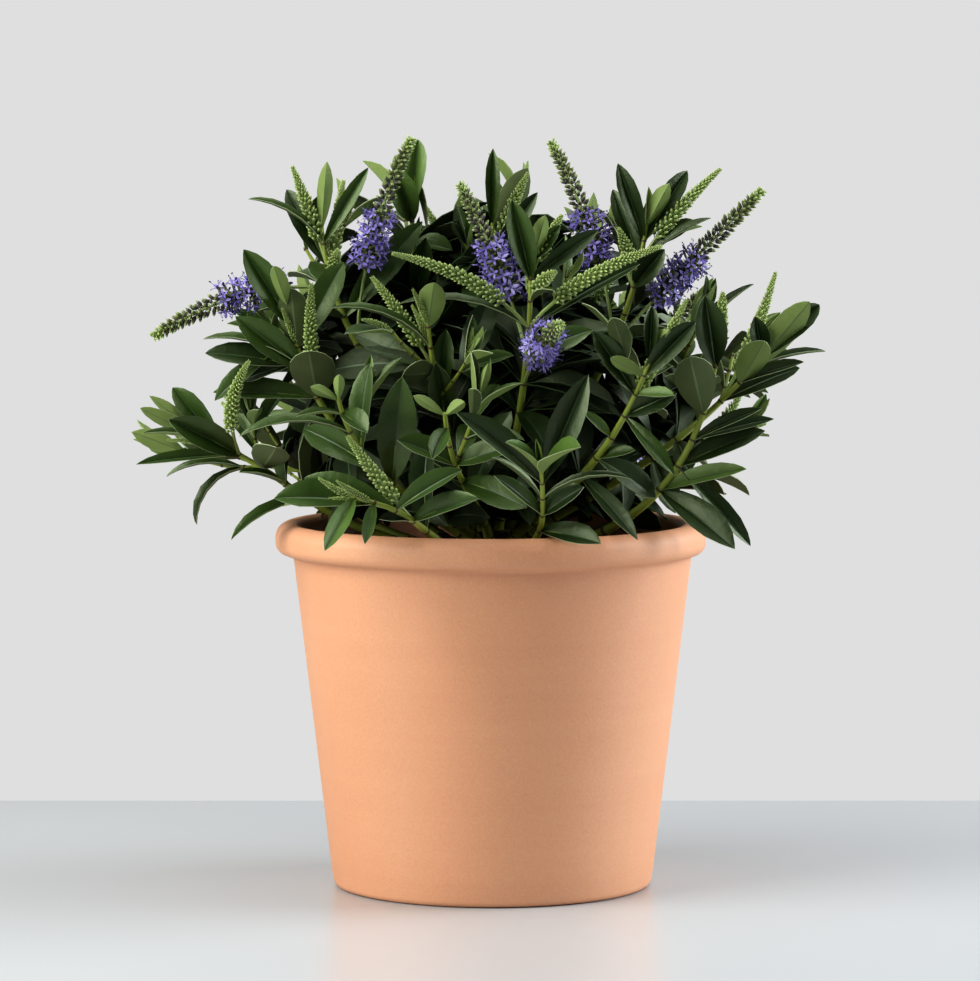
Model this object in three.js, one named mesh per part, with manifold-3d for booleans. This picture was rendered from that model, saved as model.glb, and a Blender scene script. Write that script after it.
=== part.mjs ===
// A flowering hebe, a low evergreen shrub with many stems, growing in a rolled-rim terracotta pot.
// Millimetres, +Z up, front towards -Y. The origin is the centre of the pot's flat underside.
//
// The pot is filled with compost. A short woody root crown, the trunk, stands on the compost and forks
// into boughs that run outwards low in the pot and turn up. Each bough ends in one mass of foliage:
// a leafy stem with opposite leaves in crossed pairs, side shoots from some leaf axils, and flower
// spikes (racemes) near the tips. Each mass is one fused solid that keeps clear of every other.

import * as THREE from "three";
import { mergeVertices } from "three/addons/utils/BufferGeometryUtils.js";
import Module from "manifold-3d";

const wasm = await Module();
wasm.setup();
const { Manifold } = wasm;

// ---- Driving dimensions ----

const GAP = 0.3; // clearance between neighbouring solids
const SLIVER = 0.02; // fused solids lose detail finer than this
const SEED = 1400; // of the first branch; each later one has the next seed

const POT = {
  height: 206,
  rimRadius: 120.5,
  rimHeight: 22,
  neckRadius: 112, // outside, just under the rim
  footRadius: 88.7,
  footRound: 3,
  wall: 9,
  floor: 14,
  headroom: 28, // from the compost up to the top of the rim
  segments: 36,
};

const TRUNK = {
  radius: 16,
  height: 24,
  flare: 1.3, // its foot's radius over its waist's
  taper: 0.28, // share of its radius lost at the top
  lean: [2, -1.5],
  lobes: 5,
  lobeDepth: 0.07,
  sides: 10,
};

// The trunk forks in three tiers. A bough starts at this radius and height inside the trunk, and
// leaves it at this angle above the level.
const TIERS = [
  { radius: 8, height: 8, rise: 8 },
  { radius: 8, height: 15, rise: 30 },
  { radius: 6.5, height: 19, rise: 62 },
];

const BOUGH = { rootRadius: 2.9, tipRadius: 2.5, sides: 4, steps: 4, leastLength: 26 };

const STEM = { leafyLength: 112, tipRadius: 1.2, sides: 3, steps: 5 };
const SIDE_SHOOT = {
  length: 54,
  rootRadius: 1.6,
  tipRadius: 0.9,
  sides: 3,
  steps: 2,
  vigour: 0.82, // the size of its leaves
  angle: 42, // from the stem it grows on
  room: 11, // to any other stem, away from its own root
  firstRank: 3, // ranks count leaf pairs down from a shoot's tip
};

const LEAF = {
  length: 56,
  widthShare: 0.36, // full width over length
  thickness: 0.9,
  lift: 0.6, // how far the edges stand above the midrib
  neckShare: 0.1, // width at the leaf's root over its full width
  rootDepth: 0.35, // share of the stem's radius between its axis and the leaf's root
  lowest: 17, // how far below the pot's rim a leaf may hang
};
const INTERNODE = { long: 19, short: 8, ranks: 2.2 };

const RACEME = { stalkRadius: 1.2, budRadius: 5, bloomRadius: 11 };

// Ways for a leaf to lie, tried in turn until one has room: a change of its angle from the stem, in
// degrees, and its size.
const LEAF_TRIES = [
  { turn: 0, size: 1 },
  { turn: -14, size: 1 },
  { turn: 12, size: 0.94 },
  { turn: -4, size: 0.78 },
];
const OWN_ROOM = 7; // parts of one mass with roots closer than this may touch
const OWN_GAP = 0.2; // and other parts of one mass keep this far apart

const COLOURS = { terracotta: 0xe0a57c, compost: 0x2b1f17, wood: 0x6f7a35, foliage: 0x2f4a26 };

// Each branch: its tip, the tier and the azimuth at which it leaves the trunk (degrees about +Z from
// +X), how far it heads that way before it turns, how its tip points (lean from upright, and azimuth),
// the turn of its first leaf pair about the stem, and its number of side shoots. Each raceme gives the
// leaf pair that it grows from, counted down from the tip, the place of its own tip, and the shares of
// its length where its open flowers start and end.
const FRONT_BRANCHES = [
  {
    name: "right_front", tip: [124, -75, 308], tier: 0, azimuth: -32, run: 96, lean: 10, heading: -30,
    roll: 20, sides: 1,
    racemes: [{ rank: 3, tip: [156, -52, 342] }, { rank: 0, tip: [126, -78, 338] }],
  },
  {
    name: "right_outer", tip: [152, -44, 304], tier: 1, azimuth: -14, run: 84, lean: 40, heading: -8,
    roll: 50, sides: 1, racemes: [],
  },
  {
    name: "mid_right", tip: [86, -103, 304], tier: 1, azimuth: -50, run: 70, lean: 24, heading: -35,
    roll: 70, sides: 1,
    racemes: [{ rank: 3, tip: [106, -80, 334] }],
  },
  {
    name: "centre_front", tip: [26, -138, 246], tier: 0, azimuth: -74, run: 92, lean: 42, heading: -95,
    roll: 5, sides: 1, racemes: [],
  },
  {
    name: "centre_low", tip: [-26, -118, 276], tier: 1, azimuth: -96, run: 74, lean: 25, heading: -100,
    roll: 40, sides: 1, racemes: [],
  },
  {
    name: "left_front", tip: [-84, -144, 232], tier: 0, azimuth: -112, run: 112, lean: 82, heading: 202,
    roll: 0, sides: 0,
    racemes: [{ rank: 4, tip: [-78, -122, 262] }],
  },
  {
    name: "left_low", tip: [-84, -112, 284], tier: 1, azimuth: -126, run: 74, lean: 20, heading: -130,
    roll: 15, sides: 1, racemes: [],
  },
  {
    name: "far_left", tip: [-162, -34, 256], tier: 0, azimuth: -166, run: 96, lean: 68, heading: 182,
    roll: 30, sides: 1,
    racemes: [{ rank: 5, tip: [-138, -34, 292] }],
  },
  {
    name: "left_mid", tip: [-112, -60, 330], tier: 1, azimuth: -156, run: 74, lean: 8, heading: -160,
    roll: 25, sides: 1,
    racemes: [{ rank: 4, tip: [-98, -48, 338] }],
  },
  {
    name: "left_top", tip: [-96, -10, 374], tier: 2, azimuth: 188, run: 84, lean: 4, heading: 180,
    roll: 60, sides: 1,
    racemes: [
      { rank: 2, tip: [-112, -10, 406] },
      { rank: 3, tip: [-84, 6, 398] },
      { rank: 3, tip: [-86, -42, 360] },
      { rank: 6, tip: [-189, -30, 308], bloom: [0.25, 0.52] },
      { rank: 5, tip: [-45, -34, 421], bloom: [0.32, 0.62] },
    ],
  },
  {
    name: "upper_left", tip: [-36, -74, 330], tier: 2, azimuth: -126, run: 66, lean: 10, heading: -110,
    roll: 10, sides: 1,
    racemes: [{ rank: 3, tip: [-66, -66, 346] }],
  },
  {
    name: "centre", tip: [21, -66, 356], tier: 2, azimuth: -70, run: 74, lean: 3, heading: 90,
    roll: 80, sides: 0,
    racemes: [
      { rank: 5, tip: [92, -80, 362] },
      { rank: 5, tip: [-55, -80, 357] },
      { rank: 4, tip: [-18, -46, 397], bloom: [0.3, 0.64] },
      { rank: 6, tip: [34, -130, 321], bloom: [0.35, 0.72] },
      { rank: 1, tip: [38, -62, 380] },
      { rank: 2, tip: [34, -94, 350] },
    ],
  },
  {
    name: "top_left", tip: [-46, 20, 386], tier: 2, azimuth: 150, run: 84, lean: 2, heading: 160,
    roll: 45, sides: 1, racemes: [],
  },
  {
    name: "top_centre", tip: [0, 12, 376], tier: 2, azimuth: 72, run: 90, lean: 2, heading: 90,
    roll: 15, sides: 1,
    racemes: [{ rank: 2, tip: [20, 14, 402] }],
  },
  {
    name: "top_right", tip: [86, -20, 376], tier: 2, azimuth: -14, run: 84, lean: 6, heading: 0,
    roll: 30, sides: 0,
    racemes: [
      { rank: 2, tip: [126, -20, 401] },
      { rank: 3, tip: [70, -40, 372] },
      { rank: 5, tip: [31, 0, 418], bloom: [0.36, 0.62] },
      { rank: 5, tip: [151, -10, 392], bloom: [0.26, 0.56] },
    ],
  },
  {
    name: "right_top", tip: [114, 36, 312], tier: 1, azimuth: 14, run: 84, lean: 22, heading: 15,
    roll: 0, sides: 1, racemes: [],
  },
];

// Behind, the branches stand in rings, in a rising dome: the radius and height of their tips, and the
// rest as above.
const BACK_RINGS = [
  {
    name: "back_low", azimuths: [20, 55, 90, 125, 160], radius: 146, height: 254, tier: 0, run: 92,
    lean: 60, firstRoll: 0,
  },
  {
    name: "back_mid", azimuths: [45, 80, 115, 150], radius: 116, height: 318, tier: 1, run: 78,
    lean: 24, firstRoll: 20,
  },
  {
    name: "back_top", azimuths: [30, 110], radius: 62, height: 362, tier: 2, run: 84,
    lean: 10, firstRoll: 40,
  },
];

// Each of them has two racemes, whose tips stand out and up from the branch's tip, at a turn from its
// azimuth. The second is in bloom on every other branch.
const BACK_RACEMES = [
  { rank: 2, turn: 50, out: 18, up: 20 },
  { rank: 4, turn: -40, out: 40, up: 14, bloom: [0.34, 0.62] },
];

// ---- Small tools ----

const radians = THREE.MathUtils.degToRad;
const UP = new THREE.Vector3(0, 0, 1);

/** A repeatable source of numbers from 0 to 1. */
function seeded(seed) {
  let state = seed >>> 0;
  return () => {
    state = (state + 0x6d2b79f5) >>> 0;
    let t = Math.imul(state ^ (state >>> 15), state | 1);
    t = (t + Math.imul(t ^ (t >>> 7), t | 61)) ^ t;
    return ((t ^ (t >>> 14)) >>> 0) / 4294967296;
  };
}

/** The unit vector at an azimuth about +Z and a lean from upright, in degrees. */
function pointing(azimuth, lean) {
  const out = Math.sin(radians(lean));
  return new THREE.Vector3(
    out * Math.cos(radians(azimuth)),
    out * Math.sin(radians(azimuth)),
    Math.cos(radians(lean)),
  );
}

/** The part of a vector that is square to an axis, as a unit vector. */
function squareTo(vector, axis) {
  return vector.clone().addScaledVector(axis, -vector.dot(axis)).normalize();
}

/** The blank of a geometry: its points and triangles, with shared vertices merged. */
function merged(geometry) {
  const bare = geometry.clone();
  bare.deleteAttribute("normal");
  bare.deleteAttribute("uv");
  const whole = mergeVertices(bare, 1e-4);
  return { points: whole.getAttribute("position"), triangles: new Uint32Array(whole.index.array) };
}

/** The closed solid of a blank's points and triangles, with each point moved to where place puts it. */
function solid({ points, triangles }, place = (point) => point) {
  const vertProperties = new Float32Array(points.count * 3);
  const point = new THREE.Vector3();
  for (let i = 0; i < points.count; i++) {
    place(point.fromBufferAttribute(points, i)).toArray(vertProperties, i * 3);
  }
  return new Manifold(new wasm.Mesh({ numProp: 3, vertProperties, triVerts: triangles }));
}

/** A solid of revolution about +Z from [radius, height] pairs that start and end on the axis. */
function turned(profile, segments) {
  const outline = profile.map(([radius, height]) => new THREE.Vector2(radius, height));
  return solid(merged(new THREE.LatheGeometry(outline, segments).rotateX(Math.PI / 2)));
}

/** A blank of a ball with flat facets. */
const ball = (sides, rings) => merged(new THREE.SphereGeometry(1, sides, rings));

/** The ring of a ball that a point is on, counted from its lower pole. */
function ringOf(point, rings) {
  const angle = Math.acos(THREE.MathUtils.clamp(-point.y, -1, 1));
  return Math.round((angle / Math.PI) * rings);
}

/** Points on an arc in a profile, from one angle to another, in degrees. */
function arc(centre, radius, from, to, steps) {
  return Array.from({ length: steps + 1 }, (_, i) => {
    const angle = radians(from + ((to - from) * i) / steps);
    return [centre[0] + radius * Math.cos(angle), centre[1] + radius * Math.sin(angle)];
  });
}

// ---- Pot and compost ----

const RIM_ROUND = POT.rimHeight / 2; // the rolled rim's outer radius in section
const LIP_ROUND = 6; // its inner radius in section
const RIM_CENTRE = [POT.rimRadius - RIM_ROUND, POT.height - RIM_ROUND];
const LIP_CENTRE = [POT.rimRadius - RIM_ROUND, POT.height - LIP_ROUND];
const FILLET = 5; // between the inside of the wall and the floor
const COMPOST_TOP = POT.height - POT.headroom;

/** The pot's inside radius at a height. */
function boreRadius(height) {
  const share = (height - POT.floor) / (POT.height - POT.rimHeight - POT.floor);
  return THREE.MathUtils.lerp(POT.footRadius - POT.wall, POT.neckRadius - POT.wall, share);
}

function potSolid() {
  const { footRadius, footRound, neckRadius, height, rimHeight, floor, segments } = POT;
  const outline = [
    [0, 0],
    ...arc([footRadius - footRound, footRound], footRound, -90, 0, 2),
    [neckRadius, height - rimHeight - 1],
    ...arc(RIM_CENTRE, RIM_ROUND, -62, 90, 6),
    ...arc(LIP_CENTRE, LIP_ROUND, 90, 180, 2),
    [boreRadius(height - rimHeight), height - rimHeight],
    [boreRadius(floor + FILLET), floor + FILLET],
    [boreRadius(floor) - FILLET, floor],
    [0, floor],
  ];
  return turned(outline, segments);
}

function compostSolid() {
  const { floor, segments } = POT;
  const inset = 2 * GAP;
  const outline = [
    [0, floor + GAP],
    [boreRadius(floor) - FILLET - inset, floor + GAP],
    [boreRadius(floor + FILLET) - inset, floor + FILLET],
    [boreRadius(COMPOST_TOP) - inset, COMPOST_TOP],
    [0, COMPOST_TOP],
  ];
  return turned(outline, segments);
}

// ---- Trunk and boughs ----

const TRUNK_FOOT = COMPOST_TOP + GAP;

/** The trunk, or the space it needs when it is grown by a clearance. */
function trunkSolid(clearance = 0) {
  const { radius, height, flare, taper, lean, lobes, lobeDepth, sides } = TRUNK;
  const drum = merged(new THREE.CylinderGeometry(1, 1, 1, sides, 4));
  return solid(drum, (point) => {
    const up = point.y + 0.5;
    const around = Math.atan2(point.z, point.x);
    const spread = 1 + (flare - 1) * (1 - up) ** 3 - taper * up ** 5;
    const lobe = 1 + lobeDepth * Math.cos(lobes * around) * (1 - up);
    const reach = Math.hypot(point.x, point.z) * (radius * spread * lobe + clearance);
    return point.set(
      Math.cos(around) * reach + lean[0] * up,
      -Math.sin(around) * reach + lean[1] * up,
      TRUNK_FOOT + up * (height + clearance),
    );
  });
}

/** The whole curve of a branch, from inside the trunk to its tip. */
function branchCurve({ tip, tier, azimuth, run, lean, heading }) {
  const { radius, height, rise } = TIERS[tier];
  const root = pointing(azimuth, 90).multiplyScalar(radius).setZ(COMPOST_TOP + height);
  const end = new THREE.Vector3(...tip);
  const arm = 0.36 * root.distanceTo(end);
  return new THREE.CubicBezierCurve3(
    root,
    root.clone().addScaledVector(pointing(azimuth, 90 - rise), run),
    end.clone().addScaledVector(pointing(heading, lean), -arm),
    end,
  );
}

/** Puts a point at x and z from a curve, square to it, at a share of its length. */
function besideCurve(point, curve, share, across, x, z) {
  const along = curve.getTangentAt(share);
  const side = squareTo(across, along);
  const front = side.clone().cross(along);
  return point.copy(curve.getPointAt(share)).addScaledVector(side, x).addScaledVector(front, z);
}

/**
 * A tapering limb along a curve, between two shares of its length, in straight steps. across is any
 * direction well away from the curve's own, which sets how the limb's sides are turned.
 */
function limbSolid({ curve, from, to, rootRadius, tipRadius, sides, steps, across }) {
  const rod = merged(new THREE.CylinderGeometry(1, 1, 1, sides, steps));
  return solid(rod, (point) => {
    const up = point.y + 0.5;
    const radius = THREE.MathUtils.lerp(rootRadius, tipRadius, up);
    const share = THREE.MathUtils.lerp(from, to, up);
    return besideCurve(point, curve, share, across, point.x * radius, point.z * radius);
  });
}

/** The point of a limb's axis at a share of its curve's length, on its straight steps. */
function pointOnLimb({ curve, from, to, steps }, share) {
  const place = ((share - from) / (to - from)) * steps;
  const step = Math.min(Math.floor(place), steps - 1);
  const [low, high] = [step, step + 1].map((i) => curve.getPointAt(from + ((to - from) * i) / steps));
  return low.lerp(high, place - step);
}

// ---- How a shoot grows ----

/** From 0 at a shoot's tip to 1 where its leaves are full grown. */
const maturity = (rank, ranks = 2.4) => 1 - Math.exp(-rank / ranks);

/** The distance from a leaf pair to the next one down the stem. */
const internode = (rank) =>
  INTERNODE.short + (INTERNODE.long - INTERNODE.short) * maturity(rank, INTERNODE.ranks);

/** The leaf of a rank: its length, its angle from the stem and how much it bends back, in degrees. */
function leafOfRank(rank, vigour, random) {
  const grown = maturity(rank);
  return {
    length: LEAF.length * vigour * (0.62 + 0.38 * maturity(rank, 1.5)) * (0.92 + 0.16 * random()),
    pitch: 14 + 54 * grown + 14 * (random() - 0.5),
    bend: -14 + 44 * grown + 16 * (random() - 0.5),
    twist: 36 * (random() - 0.5),
    sag: 0.16 * grown * random(),
  };
}

/** Adds a shoot's stem and leaf pairs to a mass's parts, and returns its nodes, from the tip down. */
function growShoot(stem, roll, vigour, { parts, random }) {
  const { curve, from, across, rootRadius, tipRadius } = stem;
  const length = curve.getLength();
  parts.push({ kind: "stem", stem, root: curve.getPointAt(from) });
  const nodes = [];
  let left = length * (1 - from) - 3;
  for (let rank = 0; left > 5; rank++) {
    const share = from + left / length;
    const along = curve.getTangentAt(share);
    const side = squareTo(across, along);
    const turn = radians(roll + 90 * rank + 24 * (random() - 0.5));
    const out = side
      .clone()
      .multiplyScalar(Math.cos(turn))
      .addScaledVector(side.clone().cross(along), Math.sin(turn));
    const radius = THREE.MathUtils.lerp(rootRadius, tipRadius, (share - from) / (1 - from));
    const node = { rank, root: pointOnLimb(stem, share), along, out, radius };
    nodes.push(node);
    for (const way of [1, -1]) {
      const leaf = leafOfRank(rank, vigour, random);
      parts.push({ kind: "leaf", ...node, out: out.clone().multiplyScalar(way), ...leaf });
    }
    left -= internode(rank) * vigour;
  }
  return nodes;
}

/** A branch with its bough and the parts of its mass: the main stem, its leaves and its racemes. */
function growMass(branch, index) {
  const mass = { ...branch, parts: [], random: seeded(SEED + index) };
  const curve = branchCurve(branch);
  const length = curve.getLength();
  const forkShare = Math.max(BOUGH.leastLength, length - STEM.leafyLength) / length;
  const across = pointing(branch.azimuth + 90, 90);
  mass.curve = curve;
  mass.bough = { ...BOUGH, curve, from: 0, to: forkShare, across };
  const stem = { ...STEM, rootRadius: BOUGH.tipRadius, curve, from: forkShare + GAP / length, to: 1, across };
  mass.nodes = growShoot(stem, branch.roll, 1, mass);
  for (const raceme of branch.racemes) {
    const { root, along } = mass.nodes[raceme.rank];
    mass.parts.push({ kind: "raceme", root, along, ...raceme });
  }
  return mass;
}

/** Where a side shoot goes: out of a leaf's axil at an angle, then turning up. */
function sideCurve({ root, along, out }, length) {
  const angle = radians(SIDE_SHOOT.angle);
  const start = along.clone().multiplyScalar(Math.cos(angle)).addScaledVector(out, Math.sin(angle));
  const end = start.clone().addScaledVector(UP, 0.5).normalize();
  const middle = root.clone().addScaledVector(start, length / 2);
  const tip = middle.clone().addScaledVector(end, length / 2);
  return new THREE.QuadraticBezierCurve3(root, middle, tip);
}

/** Points along a curve, for judging the room between stems. */
const trail = (curve) => Array.from({ length: 9 }, (_, i) => curve.getPointAt((i + 1) / 9));

/** Whether a trail of points keeps clear of the pot and of other trails. */
function hasRoom(points, trails) {
  const { room } = SIDE_SHOOT;
  const clear = (point) => point.z > POT.height + room && !trails.some((q) => point.distanceTo(q) < room);
  return points.every(clear);
}

/** Grows a mass's side shoots from the first leaf axils that have room, the outer side first. */
function growSides(mass, trails) {
  const { nodes, random, tip } = mass;
  const outward = new THREE.Vector3(tip[0], tip[1], SIDE_SHOOT.length);
  let wanted = mass.sides;
  for (const node of nodes.slice(SIDE_SHOOT.firstRank)) {
    const length = SIDE_SHOOT.length * (0.85 + 0.3 * random());
    const roll = 90 * random();
    const nearer = Math.sign(node.out.dot(outward));
    for (const way of wanted > 0 ? [nearer, -nearer] : []) {
      const out = node.out.clone().multiplyScalar(way);
      const curve = sideCurve({ ...node, out }, length);
      const points = trail(curve).slice(2);
      if (!hasRoom(points, trails)) continue;
      trails.push(...points);
      const across = squareTo(node.along.clone().cross(out), UP);
      growShoot({ ...SIDE_SHOOT, curve, from: 0, to: 1, across }, roll, SIDE_SHOOT.vigour, mass);
      wanted--;
      break;
    }
  }
}

/** The branches of a ring behind, as rows like those in front. */
function ringBranches({ name, azimuths, radius, height, firstRoll, ...rest }, ring) {
  return azimuths.map((azimuth, i) => {
    const tip = pointing(azimuth, 90).multiplyScalar(radius).setZ(height);
    const racemes = BACK_RACEMES.map(({ rank, turn, out, up, bloom }) => {
      const end = tip.clone().addScaledVector(pointing(azimuth + turn, 90), out).addScaledVector(UP, up);
      return { rank, tip: end.toArray(), bloom: (i + ring) % 2 ? bloom : undefined };
    });
    const roll = firstRoll + 35 * i;
    return {
      ...rest, name: `${name}_${i + 1}`, azimuth, heading: azimuth, tip: tip.toArray(), roll, sides: 1,
      racemes,
    };
  });
}

// ---- Leaves and racemes ----

// Leaves start as balls of three sides: two for the edges of the blade and one for its keel.
const LEAF_BLANKS = { grown: ball(3, 3), young: ball(3, 2) };

/** Half of a leaf's width at a share of its length, over its greatest half width. */
const leafOutline = (share) => Math.max(LEAF.neckShare, (4 * share * (1 - share)) ** 0.75);

/** One leaf: a blade with a shallow keel that bends back along its length. */
function leafSolid({ rank, root, along, out, radius, length, pitch, bend, twist, sag }) {
  const side = along.clone().cross(out);
  const curl = radians(Math.abs(bend) < 1 ? 1 : bend);
  const start = radians(pitch);
  const halfWidth = (length * LEAF.widthShare) / 2;
  return solid(rank < 2 ? LEAF_BLANKS.young : LEAF_BLANKS.grown, (point) => {
    const share = (point.y + 1) / 2;
    const edge = Math.abs(point.z) > 1e-3 ? Math.sign(point.z) : 0;
    const keel = point.x < -1e-3;
    const angle = start + curl * share;
    const rise = (length * (Math.sin(angle) - Math.sin(start))) / curl;
    const reach = (length * (Math.cos(start) - Math.cos(angle))) / curl;
    const normal = along.clone().multiplyScalar(Math.sin(angle)).addScaledVector(out, -Math.cos(angle));
    const turn = radians(twist) * share;
    const across = side.clone().multiplyScalar(Math.cos(turn)).addScaledVector(normal, Math.sin(turn));
    const upward = normal.clone().multiplyScalar(Math.cos(turn)).addScaledVector(side, -Math.sin(turn));
    return point
      .copy(root)
      .addScaledVector(along, rise)
      .addScaledVector(out, reach + LEAF.rootDepth * radius)
      .addScaledVector(UP, -sag * length * share * share)
      .addScaledVector(across, edge * halfWidth * leafOutline(share))
      .addScaledVector(upward, keel ? -LEAF.thickness : edge * edge * LEAF.lift);
  });
}

// Racemes start as balls too, with a ring for each width.
const RACEME_BLANKS = { bud: ball(4, 4), bloom: ball(5, 6) };

/** The shares of a raceme's length at which it changes width, and its radii there. */
function racemeProfile(bloom) {
  const { stalkRadius, budRadius, bloomRadius } = RACEME;
  if (!bloom) {
    return [[0, 0], [0.25, stalkRadius], [0.5, 0.95 * budRadius], [0.8, 0.6 * budRadius], [1, 0]];
  }
  const [start, end] = bloom;
  return [
    [0, 0], [start, stalkRadius], [start + 0.06, bloomRadius], [end, 0.85 * bloomRadius],
    [end + 0.07, budRadius], [0.9, 0.55 * budRadius], [1, 0],
  ];
}

/** One raceme: a spindle on a thin stalk that leaves the stem steeply and curves to its tip. */
function racemeSolid({ root, along, tip, bloom }) {
  const end = new THREE.Vector3(...tip);
  const reach = root.distanceTo(end);
  const start = end.clone().sub(root).normalize().addScaledVector(along, 0.5).normalize();
  const middle = root.clone().addScaledVector(start, 0.45 * reach);
  const curve = new THREE.QuadraticBezierCurve3(root, middle, end);
  const profile = racemeProfile(bloom);
  const across = squareTo(Math.abs(start.z) > 0.9 ? new THREE.Vector3(1, 0, 0) : UP, start);
  return solid(bloom ? RACEME_BLANKS.bloom : RACEME_BLANKS.bud, (point) => {
    const [share, radius] = profile[ringOf(point, profile.length - 1)];
    const width = radius / (Math.hypot(point.x, point.z) || 1);
    return besideCurve(point, curve, share, across, point.x * width, point.z * width);
  });
}

// ---- Fitting the masses together ----

/** A solid with its bounding box and what else is known of it. */
const boxed = (body, known) => ({ ...known, body, box: body.boundingBox() });

/** Whether two boxed solids come closer than a distance. */
function near(a, b, distance) {
  const apart = [0, 1, 2].some(
    (i) => a.box.min[i] > b.box.max[i] + distance || b.box.min[i] > a.box.max[i] + distance,
  );
  return !apart && a.body.minGap(b.body, 2 * distance) < distance;
}

/** Whether a part is clear of the limbs, of other masses and of what grows elsewhere in its own. */
function fits(part, placed) {
  if (part.box.min[2] < POT.height - LEAF.lowest) return false;
  return !placed.some((other) => {
    if (other.mass !== part.mass) return near(part, other, GAP);
    const together = other.kind === "stem" || other.root.distanceTo(part.root) < OWN_ROOM;
    return !together && near(part, other, OWN_GAP);
  });
}

/** A leaf or raceme as a boxed solid that fits, or undefined where there is no room. */
function placedPart(part, placed) {
  if (part.kind === "raceme") return [boxed(racemeSolid(part), part)].find((made) => fits(made, placed));
  for (const { turn, size } of LEAF_TRIES) {
    const leaf = { ...part, pitch: part.pitch + turn, length: part.length * size };
    const made = boxed(leafSolid(leaf), part);
    if (fits(made, placed)) return made;
  }
  return undefined;
}

/** Parts fused into one solid, without the slivers and loose scraps that fusing leaves. */
function fused(parts) {
  const pieces = Manifold.union(parts.map((part) => part.body)).simplify(SLIVER).decompose();
  return pieces.reduce((most, piece) => (piece.volume() > most.volume() ? piece : most));
}

/** A named mesh of a solid, in a plain material. */
function meshOf(name, body, color, roughness) {
  const { vertProperties, triVerts } = body.getMesh();
  const geometry = new THREE.BufferGeometry();
  geometry.setAttribute("position", new THREE.BufferAttribute(vertProperties, 3));
  geometry.setIndex(new THREE.BufferAttribute(triVerts, 1));
  const material = new THREE.MeshStandardMaterial({ color, roughness, metalness: 0 });
  const mesh = new THREE.Mesh(geometry, material);
  mesh.name = name;
  return mesh;
}

// ---- The shrub ----

const pot = potSolid();
const compost = compostSolid();
const trunk = trunkSolid();
const trunkSpace = trunkSolid(GAP);

const masses = [...FRONT_BRANCHES, ...BACK_RINGS.flatMap(ringBranches)].map(growMass);
const trails = masses.flatMap(({ curve }) => trail(curve));
masses.forEach((mass) => growSides(mass, trails));

const boughs = masses.map(({ name, bough }) => {
  return boxed(limbSolid(bough).subtract(trunkSpace), { mass: name, root: bough.curve.getPoint(0) });
});

// Stems stand first, then racemes, then the leaves from the tips down, so that the outer ones win.
const waiting = masses.flatMap(({ name, parts }) => parts.map((part) => ({ ...part, mass: name })));
const turnOf = ({ kind, rank }) => (kind === "raceme" ? -1 : rank);
const stems = waiting
  .filter(({ kind }) => kind === "stem")
  .map((part) => boxed(limbSolid(part.stem), part));
const others = waiting
  .filter(({ kind }) => kind !== "stem")
  .sort((a, b) => turnOf(a) - turnOf(b));

const fixed = [pot, compost, trunk].map((body) => boxed(body, {}));
const placed = [...fixed, ...boughs, ...stems];
for (const part of others) {
  const made = placedPart(part, placed);
  if (made) placed.push(made);
}

const shrub = new THREE.Group();
shrub.add(meshOf("pot", pot, COLOURS.terracotta, 0.85));
shrub.add(meshOf("compost", compost, COLOURS.compost, 1));
shrub.add(meshOf("trunk", trunk, COLOURS.wood, 0.8));
for (const { mass, body } of boughs) {
  const parts = placed.filter((part) => part.kind && part.mass === mass);
  shrub.add(meshOf(`bough_${mass}`, body, COLOURS.wood, 0.7));
  shrub.add(meshOf(`foliage_${mass}`, fused(parts), COLOURS.foliage, 0.5));
}

export default shrub;
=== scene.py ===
# %% [markdown]
# # A flowering hebe in a terracotta pot
#
# This lesson dresses a construction model: a hebe, a low evergreen shrub, in a rolled-rim pot. The model
# gives every solid its place, as a fixed frame in metres with +Z up and the front towards -Y. Each cell
# below makes one piece or one finish on top of that frame, and nothing in the frame is moved.
#
# A plant could be modelled leaf by leaf, but no one has the patience for a thousand leaves. Here a short
# rule grows it instead. A branch is a curve, leaves sit on it in crossed pairs, each with its own draw of
# length, angle and bend, and a leaf that would run into something already there is turned or left out.
# Only the hundred or so leaves that a look from the front rests on are laid one by one.

import math
from collections import Counter

import bmesh
import bpy
import numpy as np
from mathutils import Matrix, Vector, noise
from mathutils.bvhtree import BVHTree


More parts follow.
